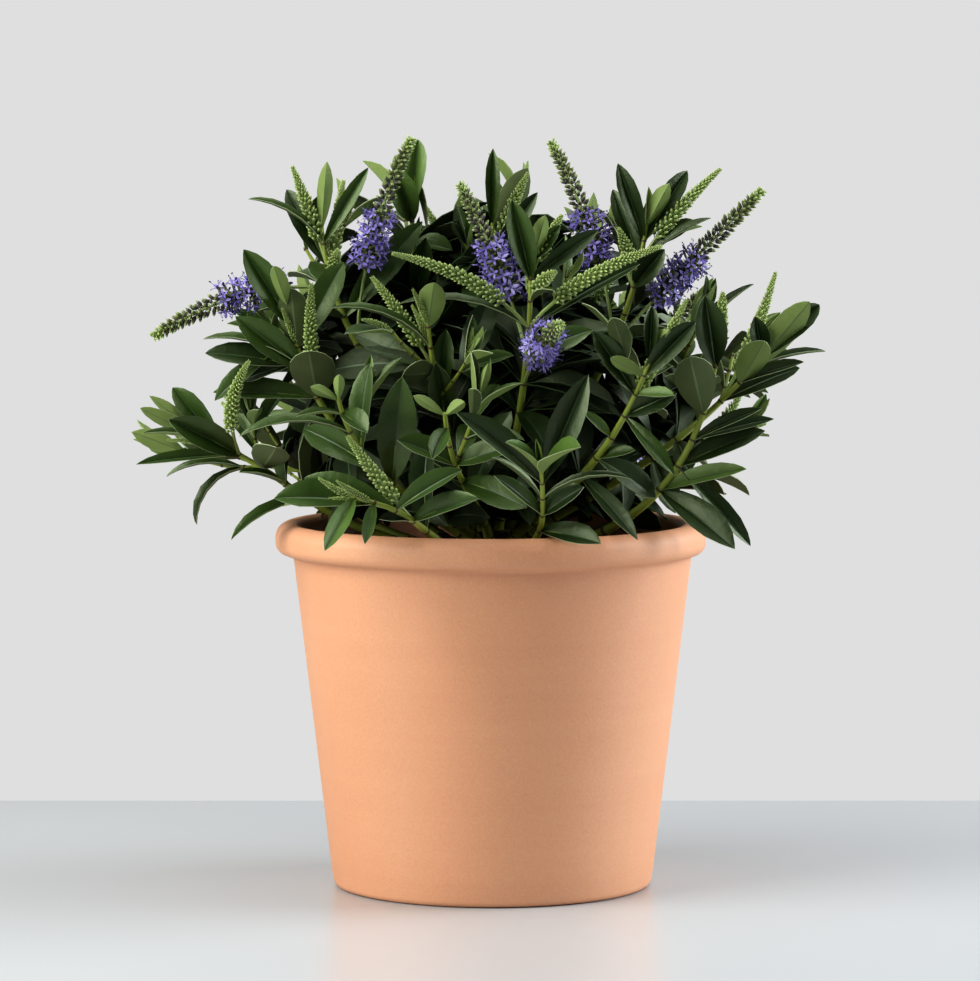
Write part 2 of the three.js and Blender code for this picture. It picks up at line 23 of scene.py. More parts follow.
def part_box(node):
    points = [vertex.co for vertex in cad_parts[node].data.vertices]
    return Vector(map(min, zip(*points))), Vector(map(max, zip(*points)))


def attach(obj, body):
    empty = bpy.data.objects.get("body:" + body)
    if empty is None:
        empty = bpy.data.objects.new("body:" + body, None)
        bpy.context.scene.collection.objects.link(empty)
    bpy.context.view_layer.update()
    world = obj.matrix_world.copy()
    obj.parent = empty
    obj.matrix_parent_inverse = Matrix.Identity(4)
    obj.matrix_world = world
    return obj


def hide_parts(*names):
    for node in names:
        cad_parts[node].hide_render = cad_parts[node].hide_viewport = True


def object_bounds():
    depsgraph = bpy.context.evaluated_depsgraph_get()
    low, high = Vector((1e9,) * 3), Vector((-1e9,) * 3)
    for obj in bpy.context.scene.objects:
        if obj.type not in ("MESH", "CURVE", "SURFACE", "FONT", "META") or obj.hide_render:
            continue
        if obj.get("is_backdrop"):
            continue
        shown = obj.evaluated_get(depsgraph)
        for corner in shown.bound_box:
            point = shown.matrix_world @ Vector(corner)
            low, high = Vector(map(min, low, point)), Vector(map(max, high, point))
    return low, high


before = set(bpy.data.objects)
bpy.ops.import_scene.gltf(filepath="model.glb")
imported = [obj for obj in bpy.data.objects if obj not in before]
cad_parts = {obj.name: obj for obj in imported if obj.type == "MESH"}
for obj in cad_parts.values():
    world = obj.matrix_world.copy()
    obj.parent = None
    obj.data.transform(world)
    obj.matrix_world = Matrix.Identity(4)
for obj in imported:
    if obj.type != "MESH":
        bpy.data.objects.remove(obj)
cad_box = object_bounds()
MM = 0.001  # sizes below are in millimetres, and meshes are in metres
print("solids in the frame:", len(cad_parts))

# %% [markdown]
# ## Camera
#
# A product picture like this one is taken from far away with a long lens, so that the pot's sides run
# almost parallel and its rim is a thin ellipse. The distance and the height decide that shape, and the
# lens only decides how large it comes out. The camera stands a little above the crown and looks down at
# a point on the pot's axis.

# %% Camera
CAMERA = {"distance": 2.704, "height": 0.4335, "aim_height": 0.2236, "aside": -0.0014, "lens": 176.1}


def place_camera(distance, height, aim_height, aside, lens):
    """A camera in front of the pot, turned down to a point on the pot's axis."""
    data = bpy.data.cameras.new("camera")
    data.lens = lens
    camera = bpy.data.objects.new("camera", data)
    bpy.context.scene.collection.objects.link(camera)
    camera.location = (aside, -distance, height)
    camera.rotation_euler = (math.radians(90) - math.atan2(height - aim_height, distance), 0, 0)
    bpy.context.scene.camera = camera
    return camera


camera = place_camera(**CAMERA)
print("camera looks down by", round(90 - math.degrees(camera.rotation_euler.x), 2), "degrees")

# %% [markdown]
# ## Light
#
# Round things read as round when two large soft lights stand at their sides and leave a darker band in
# between: one at the left and, a little lower and cooler, one at the right. A weak one above keeps the
# tops of the leaves from going flat. To the camera the world is one even pale backdrop. To everything
# else it is a pale wall behind and a dim room in front, which keeps the depth between leaves.

# %% Lights and backdrop
SOFTBOXES = [
    {"name": "left_softbox", "azimuth": -62, "elevation": 26, "distance": 1.5, "size": (1.1, 1.2),
     "watts": 27.5, "colour": (0.98, 1.0, 0.96)},
    {"name": "right_softbox", "azimuth": 96, "elevation": 18, "distance": 1.5, "size": (1.0, 1.2),
     "watts": 28, "colour": (0.91, 0.97, 1.0)},
    {"name": "top_softbox", "azimuth": 10, "elevation": 78, "distance": 1.6, "size": (1.2, 0.9),
     "watts": 10.5, "colour": (1.0, 1.0, 1.0)},
]
LIT_POINT = Vector((0, 0, 0.24))
BACKDROP = {"seen": 0.63, "fill": 0.12, "behind": 0.52, "wall_edge": (0.1, 0.8)}


def add_node(tree, kind, inputs=(), **settings):
    """A shader node with its settings, and its inputs linked to a socket or given a value."""
    node = tree.nodes.new(f"ShaderNode{kind}")
    for name, value in settings.items():
        setattr(node, name, value)
    for name, value in dict(inputs).items():
        if isinstance(value, bpy.types.NodeSocket):
            tree.links.new(value, node.inputs[name])
        else:
            node.inputs[name].default_value = value
    return node


def softbox(name, azimuth, elevation, distance, size, watts, colour):
    """An area light, aimed at the plant. Azimuth 0 is the camera's side and +90 is at the right."""
    light = bpy.data.lights.new(name, "AREA")
    light.shape = "RECTANGLE"
    light.size, light.size_y = size
    light.energy = watts
    light.color = colour
    lamp = bpy.data.objects.new(name, light)
    bpy.context.scene.collection.objects.link(lamp)
    around, up = math.radians(azimuth), math.radians(elevation)
    level = math.cos(up)
    away = Vector((math.sin(around) * level, -math.cos(around) * level, math.sin(up)))
    lamp.location = LIT_POINT + away * distance
    lamp.rotation_euler = away.to_track_quat("Z", "Y").to_euler()


def backdrop_world(seen, fill, behind, wall_edge):
    """A pale world. The camera sees one even brightness, and the rest sees a wall behind and a dim room.
    The wall's edge is how far a direction turns to the back where the wall starts and where it is full."""
    world = bpy.data.worlds.new("backdrop")
    world.use_nodes = True
    tree = world.node_tree
    background = tree.nodes["Background"]
    way = add_node(tree, "SeparateXYZ", {"Vector": add_node(tree, "TexCoord").outputs["Generated"]})
    wall = add_node(tree, "MapRange", {"Value": way.outputs["Y"], "From Min": wall_edge[0],
                                       "From Max": wall_edge[1], "To Min": fill, "To Max": behind},
                    interpolation_type="SMOOTHSTEP")
    by_camera = add_node(tree, "LightPath").outputs["Is Camera Ray"]
    level = add_node(tree, "MapRange", {"Value": by_camera, "To Min": wall.outputs["Result"],
                                        "To Max": seen})
    tree.links.new(level.outputs["Result"], background.inputs["Strength"])
    background.inputs["Color"].default_value = (1, 1, 1, 1)
    bpy.context.scene.world = world


for box in SOFTBOXES:
    softbox(**box)
backdrop_world(**BACKDROP)
bpy.context.scene.view_settings.view_transform = "Standard"
bpy.context.scene.view_settings.look = "Medium High Contrast"
print("lights:", ", ".join(box["name"] for box in SOFTBOXES))

# %% [markdown]
# ## Finishes
#
# Almost everything here is one of a few natural surfaces, so the effects that they share are node
# groups with their own inputs: `uneven_colour` wanders between two colours, and `fine_relief` makes a
# small bump. The groups give only colours and normals that vary over the surface. Gloss and the other
# constants are set on the shader of each finish.

# %% Shared effects
def new_group(name, inputs, outputs):
    """An empty node group with named sockets: (name, kind, default) in, and (name, kind) out."""
    group = bpy.data.node_groups.new(name, "ShaderNodeTree")
    for socket, kind, value in inputs:
        made = group.interface.new_socket(socket, in_out="INPUT", socket_type=f"NodeSocket{kind}")
        made.default_value = value
    for socket, kind in outputs:
        group.interface.new_socket(socket, in_out="OUTPUT", socket_type=f"NodeSocket{kind}")
    return group, group.nodes.new("NodeGroupInput"), group.nodes.new("NodeGroupOutput")


def noise_node(tree, scale, detail=2.0, place=None):
    """A noise texture on the object's own coordinates, or on the given ones."""
    if place is None:
        place = add_node(tree, "TexCoord").outputs["Object"]
    made = add_node(tree, "TexNoise", {"Detail": detail, "Scale": scale, "Vector": place})
    return made.outputs["Fac"]


def uneven_colour_group():
    """Wanders between two colours in soft patches. Contrast is how sharply it changes."""
    inputs = [("Colour A", "Color", (0.5, 0.5, 0.5, 1)), ("Colour B", "Color", (0.4, 0.4, 0.4, 1)),
              ("Scale", "Float", 60.0), ("Contrast", "Float", 2.0)]
    group, given, out = new_group("uneven_colour", inputs, [("Colour", "Color"), ("Mask", "Float")])
    patches = noise_node(group, given.outputs["Scale"], 3.0)
    centred = add_node(group, "Math", {0: patches, 1: 0.5}, operation="SUBTRACT")
    stretched = add_node(group, "Math", {0: centred.outputs[0], 1: given.outputs["Contrast"], 2: 0.5},
                         operation="MULTIPLY_ADD", use_clamp=True)
    mix = add_node(group, "Mix", {"Factor": stretched.outputs[0], "A": given.outputs["Colour A"],
                                  "B": given.outputs["Colour B"]}, data_type="RGBA")
    group.links.new(mix.outputs["Result"], out.inputs["Colour"])
    group.links.new(stretched.outputs[0], out.inputs["Mask"])
    return group


def fine_relief_group():
    """A small bump from noise, for skins that aren't polished."""
    inputs = [("Scale", "Float", 900.0), ("Strength", "Float", 0.3), ("Depth", "Float", 0.0002)]
    group, given, out = new_group("fine_relief", inputs, [("Normal", "Vector")])
    grain = noise_node(group, given.outputs["Scale"], 4.0)
    bump = add_node(group, "Bump", {"Height": grain, "Strength": given.outputs["Strength"],
                                    "Distance": given.outputs["Depth"]})
    group.links.new(bump.outputs["Normal"], out.inputs["Normal"])
    return group


UNEVEN_COLOUR = uneven_colour_group()
FINE_RELIEF = fine_relief_group()
print("effects:", UNEVEN_COLOUR.name, FINE_RELIEF.name)

# %% [markdown]
# Every skin of the plant is made the same way: two close colours in soft patches, a roughness that
# drifts with the same patches, and a small bump. What differs is kept in one table. Young growth is
# yellow-green, full-grown leaves are dark with a waxy sheen, and their undersides are paler and duller.

# %% Plant finishes
def placed_group(tree, group, **values):
    """A node group in a material, with its inputs set."""
    inputs = {name.replace("_", " "): value for name, value in values.items()}
    return add_node(tree, "Group", inputs, node_tree=group)


def new_finish(name, specular):
    """An empty material, its nodes and its shader."""
    material = bpy.data.materials.new(name)
    material.use_nodes = True
    shader = material.node_tree.nodes["Principled BSDF"]
    shader.inputs["Specular IOR Level"].default_value = specular
    return material, material.node_tree, shader


def skin(name, colour, other, rough=(0.4, 0.5), patch=60, contrast=2.0, grain=900, relief=0.3,
         depth=0.0002, specular=0.5, sheen=(1, 1, 1)):
    """A natural surface: two colours in patches, roughness that drifts with them, and a fine bump."""
    material, tree, shader = new_finish(name, specular)
    shader.inputs["Specular Tint"].default_value = (*sheen, 1)
    tint = placed_group(tree, UNEVEN_COLOUR, Colour_A=(*colour, 1), Colour_B=(*other, 1), Scale=patch,
                        Contrast=contrast)
    drift = add_node(tree, "MapRange", {"Value": tint.outputs["Mask"], "To Min": rough[0],
                                        "To Max": rough[1]})
    bump = placed_group(tree, FINE_RELIEF, Scale=grain, Strength=relief, Depth=depth)
    tree.links.new(tint.outputs["Colour"], shader.inputs["Base Color"])
    tree.links.new(drift.outputs["Result"], shader.inputs["Roughness"])
    tree.links.new(bump.outputs["Normal"], shader.inputs["Normal"])
    material.diffuse_color = (*colour, 1)
    return material


LEAF_SKIN = {"patch": 45, "grain": 260, "relief": 0.5, "depth": 0.0006, "specular": 0.62,
             "sheen": (0.88, 1.0, 0.66)}
WAXY = {"rough": (0.34, 0.46), **LEAF_SKIN}
UNDER_SKIN = {"patch": 60, "grain": 700, "relief": 0.4, "depth": 0.0003, "rough": (0.55, 0.68),
              "specular": 0.3, "sheen": (0.92, 1.0, 0.76)}
BUD_SKIN = {"rough": (0.45, 0.55), "patch": 300}
DULL_BUD = {"rough": (0.5, 0.6), "patch": 300}
PETAL_SKIN = {"rough": (0.55, 0.65), "patch": 160, "relief": 0.1}
BARK_SKIN = {"rough": (0.75, 0.9), "patch": 160, "grain": 600, "relief": 0.8, "depth": 0.0008,
             "specular": 0.3}
PLANT_SKINS = {
    # The deepest leaf tone and the deepest underside are painted shade, worn by the leaves deep inside the
    # crown.
    "leaf_painted_shade": ((0.005, 0.012, 0.003), (0.009, 0.019, 0.005), {**LEAF_SKIN, "rough": (0.45, 0.6)}),
    "leaf_dark": ((0.01, 0.023, 0.0045), (0.018, 0.036, 0.0075), WAXY),
    "leaf_blue": ((0.013, 0.027, 0.008), (0.022, 0.04, 0.013), WAXY),
    "leaf_green": ((0.024, 0.052, 0.007), (0.038, 0.076, 0.012), {**LEAF_SKIN, "rough": (0.33, 0.45)}),
    "leaf_young": ((0.062, 0.116, 0.02), (0.09, 0.156, 0.032), {**LEAF_SKIN, "rough": (0.35, 0.46)}),
    "leaf_tender": ((0.17, 0.255, 0.05), (0.225, 0.315, 0.07), LEAF_SKIN),
    "under_painted_shade": ((0.024, 0.034, 0.012), (0.034, 0.046, 0.017), UNDER_SKIN),
    "under_dark": ((0.07, 0.094, 0.034), (0.095, 0.12, 0.048), UNDER_SKIN),
    "under_young": ((0.17, 0.235, 0.07), (0.225, 0.3, 0.095), UNDER_SKIN),
    "midrib": ((0.038, 0.075, 0.024), (0.055, 0.1, 0.032), {}),
    "rib_foot": ((0.12, 0.175, 0.04), (0.165, 0.225, 0.055), {}),
    "midrib_pale": ((0.105, 0.145, 0.05), (0.135, 0.18, 0.065), {"rough": (0.45, 0.55)}),
    "leaf_edge": ((0.3, 0.365, 0.195), (0.38, 0.445, 0.245), {"rough": (0.5, 0.6)}),
    "green_wood": ((0.2, 0.255, 0.034), (0.26, 0.315, 0.048), {"rough": (0.42, 0.55), "patch": 90}),
    "joint": ((0.06, 0.042, 0.018), (0.09, 0.06, 0.025), {"rough": (0.6, 0.7), "patch": 300}),
    "bark": ((0.105, 0.072, 0.042), (0.058, 0.04, 0.024), BARK_SKIN),
    # Bud tips are paler, partly their own colour and partly a painted highlight.
    "bud_tip": ((0.44, 0.54, 0.2), (0.52, 0.62, 0.25), BUD_SKIN),
    "bud_green": ((0.235, 0.32, 0.09), (0.3, 0.39, 0.125), BUD_SKIN),
    "bud_olive": ((0.115, 0.13, 0.055), (0.15, 0.165, 0.075), DULL_BUD),
    "bud_plum": ((0.085, 0.08, 0.07), (0.115, 0.108, 0.085), DULL_BUD),
    "petal": ((0.205, 0.155, 0.48), (0.27, 0.22, 0.59), PETAL_SKIN),
    "petal_deep": ((0.085, 0.065, 0.29), (0.13, 0.1, 0.38), PETAL_SKIN),
    "petal_pale": ((0.33, 0.29, 0.64), (0.41, 0.37, 0.7), PETAL_SKIN),
    "stamen": ((0.3, 0.25, 0.62), (0.38, 0.33, 0.7), DULL_BUD),
    "anther": ((0.03, 0.018, 0.07), (0.05, 0.03, 0.1), DULL_BUD),
}
SKINS = {name: skin(name, colour, other, **look) for name, (colour, other, look) in PLANT_SKINS.items()}
print("plant finishes:", len(SKINS))

# %% [markdown]
# ## Small tools for pieces
#
# A piece is a mesh at the origin that rides on the plant's one rigid body. Its finishes are its
# material slots, and each face says which slot it wears.

# %% Tools for pieces
def finished(name, mesh, replaced, smooth_angle):
    """An object of a mesh in place, smooth but for its sharp edges, which stands for solids."""
    piece = bpy.data.objects.new(name, mesh)
    bpy.context.scene.collection.objects.link(piece)
    mesh.polygons.foreach_set("use_smooth", np.ones(len(mesh.polygons), bool))
    mesh.set_sharp_from_angle(angle=math.radians(smooth_angle))
    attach(piece, "root")
    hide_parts(*replaced)
    print(f"{name}: {len(mesh.polygons)} faces")


def mesh_of(name, bm, materials):
    """The mesh of a bmesh that was worked on in millimetres."""
    bmesh.ops.scale(bm, verts=bm.verts, vec=(MM, MM, MM))
    mesh = bpy.data.meshes.new(name)
    bm.to_mesh(mesh)
    bm.free()
    for material in materials:
        mesh.materials.append(material)
    return mesh


print("a millimetre is", MM, "of the frame's units")

# %% [markdown]
# ## The terracotta pot
#
# A flower pot is thrown or pressed as a shape of revolution, so it is made like one: half of its
# section, drawn as lines and arcs, is spun once round. The wall leans out, a soft cove leads from it
# into the rolled rim, and the foot has a small round. Many steps round the axis keep the rim smooth.
# The rim of this pot stands a millimetre off the axis of its wall, as happens while clay is soft.

# %% Pot
POT = {"height": 206, "rim_radius": 121.6, "rim_height": 17.5, "neck_radius": 112.7, "foot_radius": 90.2,
       "foot_round": 3.5, "wall": 9, "floor": 14, "headroom": 28, "rim_aside": -1.0}
RIM_ROUND = {"above": 8, "below": 6}
LIP = {"thickness": 14.6, "round": 6}
COVE = 3
SPIN_STEPS = 160


def arc(centre, radius, start, end, steps):
    """Points [radius, height] on an arc in a section, between two angles in degrees."""
    angles = np.radians(np.linspace(start, end, steps + 1))
    return [(centre[0] + radius * math.cos(a), centre[1] + radius * math.sin(a)) for a in angles]


def bore_radius(height):
    """The pot's inside radius at a height."""
    share = (height - POT["floor"]) / (POT["height"] - POT["rim_height"] - POT["floor"])
    foot, neck = POT["foot_radius"] - POT["wall"], POT["neck_radius"] - POT["wall"]
    return foot + (neck - foot) * share


def wall_radius(height):
    """The pot's outside radius at a height, below the rim."""
    share = height / (POT["height"] - POT["rim_height"])
    return POT["foot_radius"] + (POT["neck_radius"] - POT["foot_radius"]) * share


def pot_section():
    """Half of the pot's section, from the middle of its underside round to the middle of its floor."""
    top, foot, low = POT["height"], POT["foot_radius"], POT["foot_round"]
    above, below = RIM_ROUND["above"], RIM_ROUND["below"]
    rim_top = (POT["rim_radius"] - above, top - above)
    rim_bottom = (POT["rim_radius"] - below, top - POT["rim_height"] + below)
    lip = (POT["rim_radius"] - LIP["thickness"] + LIP["round"], top - LIP["round"])
    cove_height = top - POT["rim_height"] - COVE + 0.5
    wall_top = wall_radius(cove_height)
    section = [(0, 0), (foot - low, 0)]
    section += arc((foot - low, low), low, -80, 0, 5)
    section += [(wall_radius(h), h) for h in np.linspace(8, cove_height - 4, 12)]
    section += arc((wall_top + COVE, cove_height), COVE, 180, 100, 5)
    section += arc(rim_bottom, below, -72, 0, 8)
    section += arc(rim_top, above, 0, 90, 10)
    section += arc(lip, LIP["round"], 100, 180, 6)
    section += [(bore_radius(h), h) for h in np.linspace(top - POT["rim_height"], POT["floor"] + 5, 6)]
    return section + [(bore_radius(POT["floor"]) - 5, POT["floor"]), (0, POT["floor"])]


def spun(section, steps):
    """A closed bmesh of a section of [radius, height] points, spun about +Z."""
    bm = bmesh.new()
    line = [bm.verts.new((radius, 0, height)) for radius, height in section]
    edges = [bm.edges.new(pair) for pair in zip(line, line[1:])]
    bmesh.ops.spin(bm, geom=line + edges, axis=(0, 0, 1), cent=(0, 0, 0), angle=math.tau, steps=steps,
                   use_merge=True)
    bmesh.ops.remove_doubles(bm, verts=bm.verts, dist=1e-3)
    bmesh.ops.recalc_face_normals(bm, faces=bm.faces)
    return bm


# %% [markdown]
# Terracotta isn't one colour. It is warmer where the kiln was hotter, it carries a fine grain with a
# few darker grits, and the turning leaves faint level bands. The bands are noise that is stretched
# round the pot by squeezing its coordinates in height. All of it is weak, because this pot is new.

# %% Terracotta
CLAY = {"cool": (0.665, 0.312, 0.168, 1), "warm": (0.70, 0.346, 0.192, 1), "grit": (0.36, 0.17, 0.09, 1),
        "specular": 0.7, "rough": (0.52, 0.66), "band_squeeze": (1.5, 1.5, 60)}
CLAY_AMOUNTS = {"bands": 0.05, "grain": 0.16, "grits": 0.35}
CLAY_SCALES = {"patches": 9, "bands": 2, "grain": 900, "grits": 210, "relief": 520}
GRIT_RADIUS = 0.09  # as a share of the distance between grits


def speckle_mask(tree, scale, radius):
    """Small sparse spots: 1 inside a spot and 0 elsewhere."""
    place = add_node(tree, "TexCoord").outputs["Object"]
    spots = add_node(tree, "TexVoronoi", {"Scale": scale, "Vector": place})
    mask = add_node(tree, "MapRange", {"Value": spots.outputs["Distance"], "From Min": radius,
                                       "From Max": radius * 0.5})
    return mask.outputs["Result"]


def blended(tree, kind, factor, first, second):
    """The colour of a Mix node. Each of its inputs is a socket, a number or a colour."""
    mix = add_node(tree, "Mix", data_type="RGBA", blend_type=kind,
                   inputs={"Factor": factor, "A": first, "B": second})
    return mix.outputs["Result"]


def terracotta_finish():
    """Pale matt fired clay, with kiln patches, level bands, grain and a few grits."""
    material, tree, shader = new_finish("terracotta", CLAY["specular"])
    clay = placed_group(tree, UNEVEN_COLOUR, Colour_A=CLAY["cool"], Colour_B=CLAY["warm"],
                        Scale=CLAY_SCALES["patches"], Contrast=2.2)
    squeeze = add_node(tree, "Mapping", {"Scale": CLAY["band_squeeze"],
                                         "Vector": add_node(tree, "TexCoord").outputs["Object"]})
    bands = noise_node(tree, CLAY_SCALES["bands"], 3.0, squeeze.outputs["Vector"])
    banded = blended(tree, "OVERLAY", CLAY_AMOUNTS["bands"], clay.outputs["Colour"], bands)
    grain = noise_node(tree, CLAY_SCALES["grain"])
    grained = blended(tree, "OVERLAY", CLAY_AMOUNTS["grain"], banded, grain)
    grits = speckle_mask(tree, CLAY_SCALES["grits"], GRIT_RADIUS)
    faint = add_node(tree, "Math", {0: grits, 1: CLAY_AMOUNTS["grits"]}, operation="MULTIPLY")
    gritted = blended(tree, "MIX", faint.outputs[0], grained, CLAY["grit"])
    rough = add_node(tree, "MapRange", {"Value": grain, "To Min": CLAY["rough"][0],
                                        "To Max": CLAY["rough"][1]})
    relief = placed_group(tree, FINE_RELIEF, Scale=CLAY_SCALES["relief"], Strength=0.25, Depth=0.0003)
    tree.links.new(gritted, shader.inputs["Base Color"])
    tree.links.new(rough.outputs["Result"], shader.inputs["Roughness"])
    tree.links.new(relief.outputs["Normal"], shader.inputs["Normal"])
    return material


pot_shape = spun(pot_section(), SPIN_STEPS)
rim = [vert for vert in pot_shape.verts if vert.co.z > POT["height"] - POT["rim_height"]]
bmesh.ops.translate(pot_shape, verts=rim, vec=(POT["rim_aside"], 0, 0))
finished("pot_body", mesh_of("pot_body", pot_shape, [terracotta_finish()]), ["pot"], 50)

# %% [markdown]
# ## Compost
#
# The pot is filled with potting compost, 28 mm below its rim. It hardly shows under the leaves, but
# seen from above it does between them. A disc is enough for its surface, if it is rough: the points
# are lifted by noise, and crumbs are scattered on it, half sunk in.

# %% Compost
COMPOST_TOP = POT["height"] - POT["headroom"]
COMPOST = {"rings": 26, "segments": 72, "relief": 2.2, "lump": 11, "thickness": 8, "crumbs": 420,
           "crumb": (1.0, 3.2), "crumb_relief": 0.35, "bare_edge": 6}
CLEARANCE = 0.6


def compost_finish():
    """Damp dark compost, matt, with lighter fibres."""
    return skin("compost", (0.030, 0.019, 0.012), (0.070, 0.045, 0.028), (0.85, 0.95), patch=240,
                contrast=3.0, grain=1200, relief=0.9, depth=0.0008, specular=0.25)


def compost_bed():
    """A shallow block of compost with a lumpy top, whose rim stays level."""
    bm = bmesh.new()
    edge = bore_radius(COMPOST_TOP) - CLEARANCE
    bmesh.ops.create_circle(bm, cap_ends=True, cap_tris=True, segments=COMPOST["segments"], radius=edge)
    spokes = [e for e in bm.edges if not e.is_boundary]
    bmesh.ops.subdivide_edges(bm, edges=spokes, cuts=COMPOST["rings"])
    for vert in bm.verts:
        inward = 1 - (vert.co.xy.length / edge) ** 8
        vert.co.z = COMPOST_TOP + COMPOST["relief"] * inward * noise.noise(vert.co / COMPOST["lump"])
    top = list(bm.faces)
    sides = bmesh.ops.extrude_face_region(bm, geom=top)
    lowered = [g for g in sides["geom"] if isinstance(g, bmesh.types.BMVert)]
    bmesh.ops.translate(bm, verts=lowered, vec=(0, 0, -COMPOST["thickness"]))
    bmesh.ops.recalc_face_normals(bm, faces=bm.faces)
    return bm


def add_crumbs(bm, random):
    """Scatters small uneven lumps over the bed."""
    low, high = COMPOST["crumb"]
    reach = bore_radius(COMPOST_TOP) - COMPOST["bare_edge"]
    for _ in range(COMPOST["crumbs"]):
        around, out = math.tau * random(), reach * math.sqrt(random())
        size = low + (high - low) * random() ** 2
        place = Vector((out * math.cos(around), out * math.sin(around), COMPOST_TOP + 0.5))
        lump = bmesh.ops.create_icosphere(bm, subdivisions=1, radius=size)["verts"]
        for vert in lump:
            vert.co *= 1 + COMPOST["crumb_relief"] * noise.noise(vert.co * 0.9 + place)
        bmesh.ops.translate(bm, verts=lump, vec=place)


def seeded(seed):
    """A repeatable source of numbers from 0 to 1, as a function that gives the next one."""
    state = seed & 0xFFFFFFFF

    def draw():
        nonlocal state
        state = (state + 0x6D2B79F5) & 0xFFFFFFFF
        mixed = ((state ^ (state >> 15)) * (state | 1)) & 0xFFFFFFFF
        mixed ^= (mixed + ((mixed ^ (mixed >> 7)) * (mixed | 61))) & 0xFFFFFFFF
        return ((mixed ^ (mixed >> 14)) & 0xFFFFFFFF) / 4294967296

    return draw


bed = compost_bed()
add_crumbs(bed, seeded(7))
finished("compost_bed", mesh_of("compost_bed", bed, [compost_finish()]), ["compost"], 60)

# %% [markdown]
# ## Trunk
#
# The shrub stands on a short woody root crown, hidden by its leaves. It starts as a drum, flares at
# the foot, leans a little and narrows where the boughs leave it. Old hebe bark splits into long
# shallow plates, so the relief is noise that is stretched along the trunk.

# %% Trunk
TRUNK = {"radius": 16, "height": 24, "flare": 1.3, "taper": 0.28, "lean": (2, -1.5), "lobes": 5,
         "lobe_depth": 0.07, "foot": COMPOST_TOP + 0.3}
BARK_RELIEF = 0.8
BARK_GRAIN = (0.45, 0.45, 0.1125)  # ridges per millimetre, four times as long as they are wide


def bark_ridge(place):
    """The height of bark at a point, about -1 to 1, in ridges along Z."""
    return noise.noise(place * Vector(BARK_GRAIN))


def trunk_form():
    """The root crown, with its flare, lobes and bark."""
    bm = bmesh.new()
    bmesh.ops.create_cone(bm, cap_ends=True, segments=60, radius1=1, radius2=1, depth=1)
    upright = [e for e in bm.edges if abs(e.verts[0].co.z - e.verts[1].co.z) > 0.5]
    bmesh.ops.subdivide_edges(bm, edges=upright, cuts=24)
    for vert in bm.verts:
        up = vert.co.z + 0.5
        around = math.atan2(vert.co.y, vert.co.x)
        spread = 1 + (TRUNK["flare"] - 1) * (1 - up) ** 3 - TRUNK["taper"] * up**5
        lobe = 1 + TRUNK["lobe_depth"] * math.cos(TRUNK["lobes"] * around) * (1 - up)
        reach = vert.co.xy.length * TRUNK["radius"] * spread * lobe
        height = TRUNK["foot"] + up * TRUNK["height"]
        outward = Vector((math.cos(around), math.sin(around), 0))
        reach += BARK_RELIEF * bark_ridge(outward * TRUNK["radius"] + Vector((0, 0, height)))
        vert.co = outward * reach + Vector((*TRUNK["lean"], 0)) * up + Vector((0, 0, height))
    bmesh.ops.recalc_face_normals(bm, faces=bm.faces)
    return bm


finished("root_crown", mesh_of("root_crown", trunk_form(), [SKINS["bark"]]), ["trunk"], 60)

# %% [markdown]
# ## How the shrub grows
#
# Everything that grows follows a curve, read by the share of its length from 0 at the root to 1 at the
# tip. A Bezier curve is a handy one, since its few control points say where a limb starts, which way it
# sets out, and how it arrives. Its parameter doesn't run evenly, so a table of lengths turns a share of
# the length into the parameter.

# %% Directions and curves
UP = np.array((0.0, 0.0, 1.0))


def pointing(azimuth, lean):
    """The unit vector at an azimuth about +Z and a lean from upright, in degrees."""
    around, out = math.radians(azimuth), math.sin(math.radians(lean))
    return np.array((out * math.cos(around), out * math.sin(around), math.cos(math.radians(lean))))


def unit(vector):
    """A vector, or each row of vectors, at a length of 1."""
    return vector / np.maximum(np.linalg.norm(vector, axis=-1, keepdims=True), 1e-9)


def square_to(vector, axis):
    """The part of a vector that is square to an axis, as a unit vector."""
    return unit(vector - axis * np.sum(vector * axis, axis=-1, keepdims=True))


class Line:
    """A Bezier curve of three or four control points, read by the share of its length."""

    def __init__(self, *controls):
        self.controls = np.array(controls, float)
        self.steps = np.linspace(0, 1, 201)
        gaps = np.linalg.norm(np.diff(self.bezier(self.steps), axis=0), axis=1)
        self.lengths = np.concatenate(([0], np.cumsum(gaps)))
        self.length = self.lengths[-1]

    def bezier(self, t):
        """The points at parameters t, by drawing the control points together."""
        points = np.repeat(self.controls[:, None, :], len(np.atleast_1d(t)), axis=1)
        t = np.atleast_1d(t)[:, None]
        while len(points) > 1:
            points = points[:-1] * (1 - t) + points[1:] * t
        return points[0]

    def at(self, share):
        """The point, or points, at a share of the length."""
        t = np.interp(np.asarray(share) * self.length, self.lengths, self.steps)
        found = self.bezier(t)
        return found if np.ndim(share) else found[0]

    def along(self, share):
        """The unit direction at a share of the length."""
        t = np.interp(np.asarray(share) * self.length, self.lengths, self.steps)
        ahead, behind = np.minimum(t + 1e-4, 1), np.maximum(t - 1e-4, 0)
        found = unit(self.bezier(ahead) - self.bezier(behind))
        return found if np.ndim(share) else found[0]


quarter = Line((10, 0, 0), (10, 5.52, 0), (5.52, 10, 0), (0, 10, 0))
print("a quarter turn of radius 10 is", round(float(quarter.length), 2), "long")

# %% [markdown]
# ### The branches
#
# The trunk forks in three tiers into boughs, which run outwards low in the pot and turn up. Each
# branch has a name, its tip, the tier and azimuth where it leaves the trunk, how far it heads that way,
# how its tip points (lean from upright, and azimuth), the turn of its first leaf pair, and its number
# of side shoots. A raceme, as a hebe's flower spike is called, grows from a leaf pair counted down from
# the tip. It has the place of its own tip, then, if it has open flowers, the shares of its length
# between which it is in bloom, and once how much it rises above the straight way.

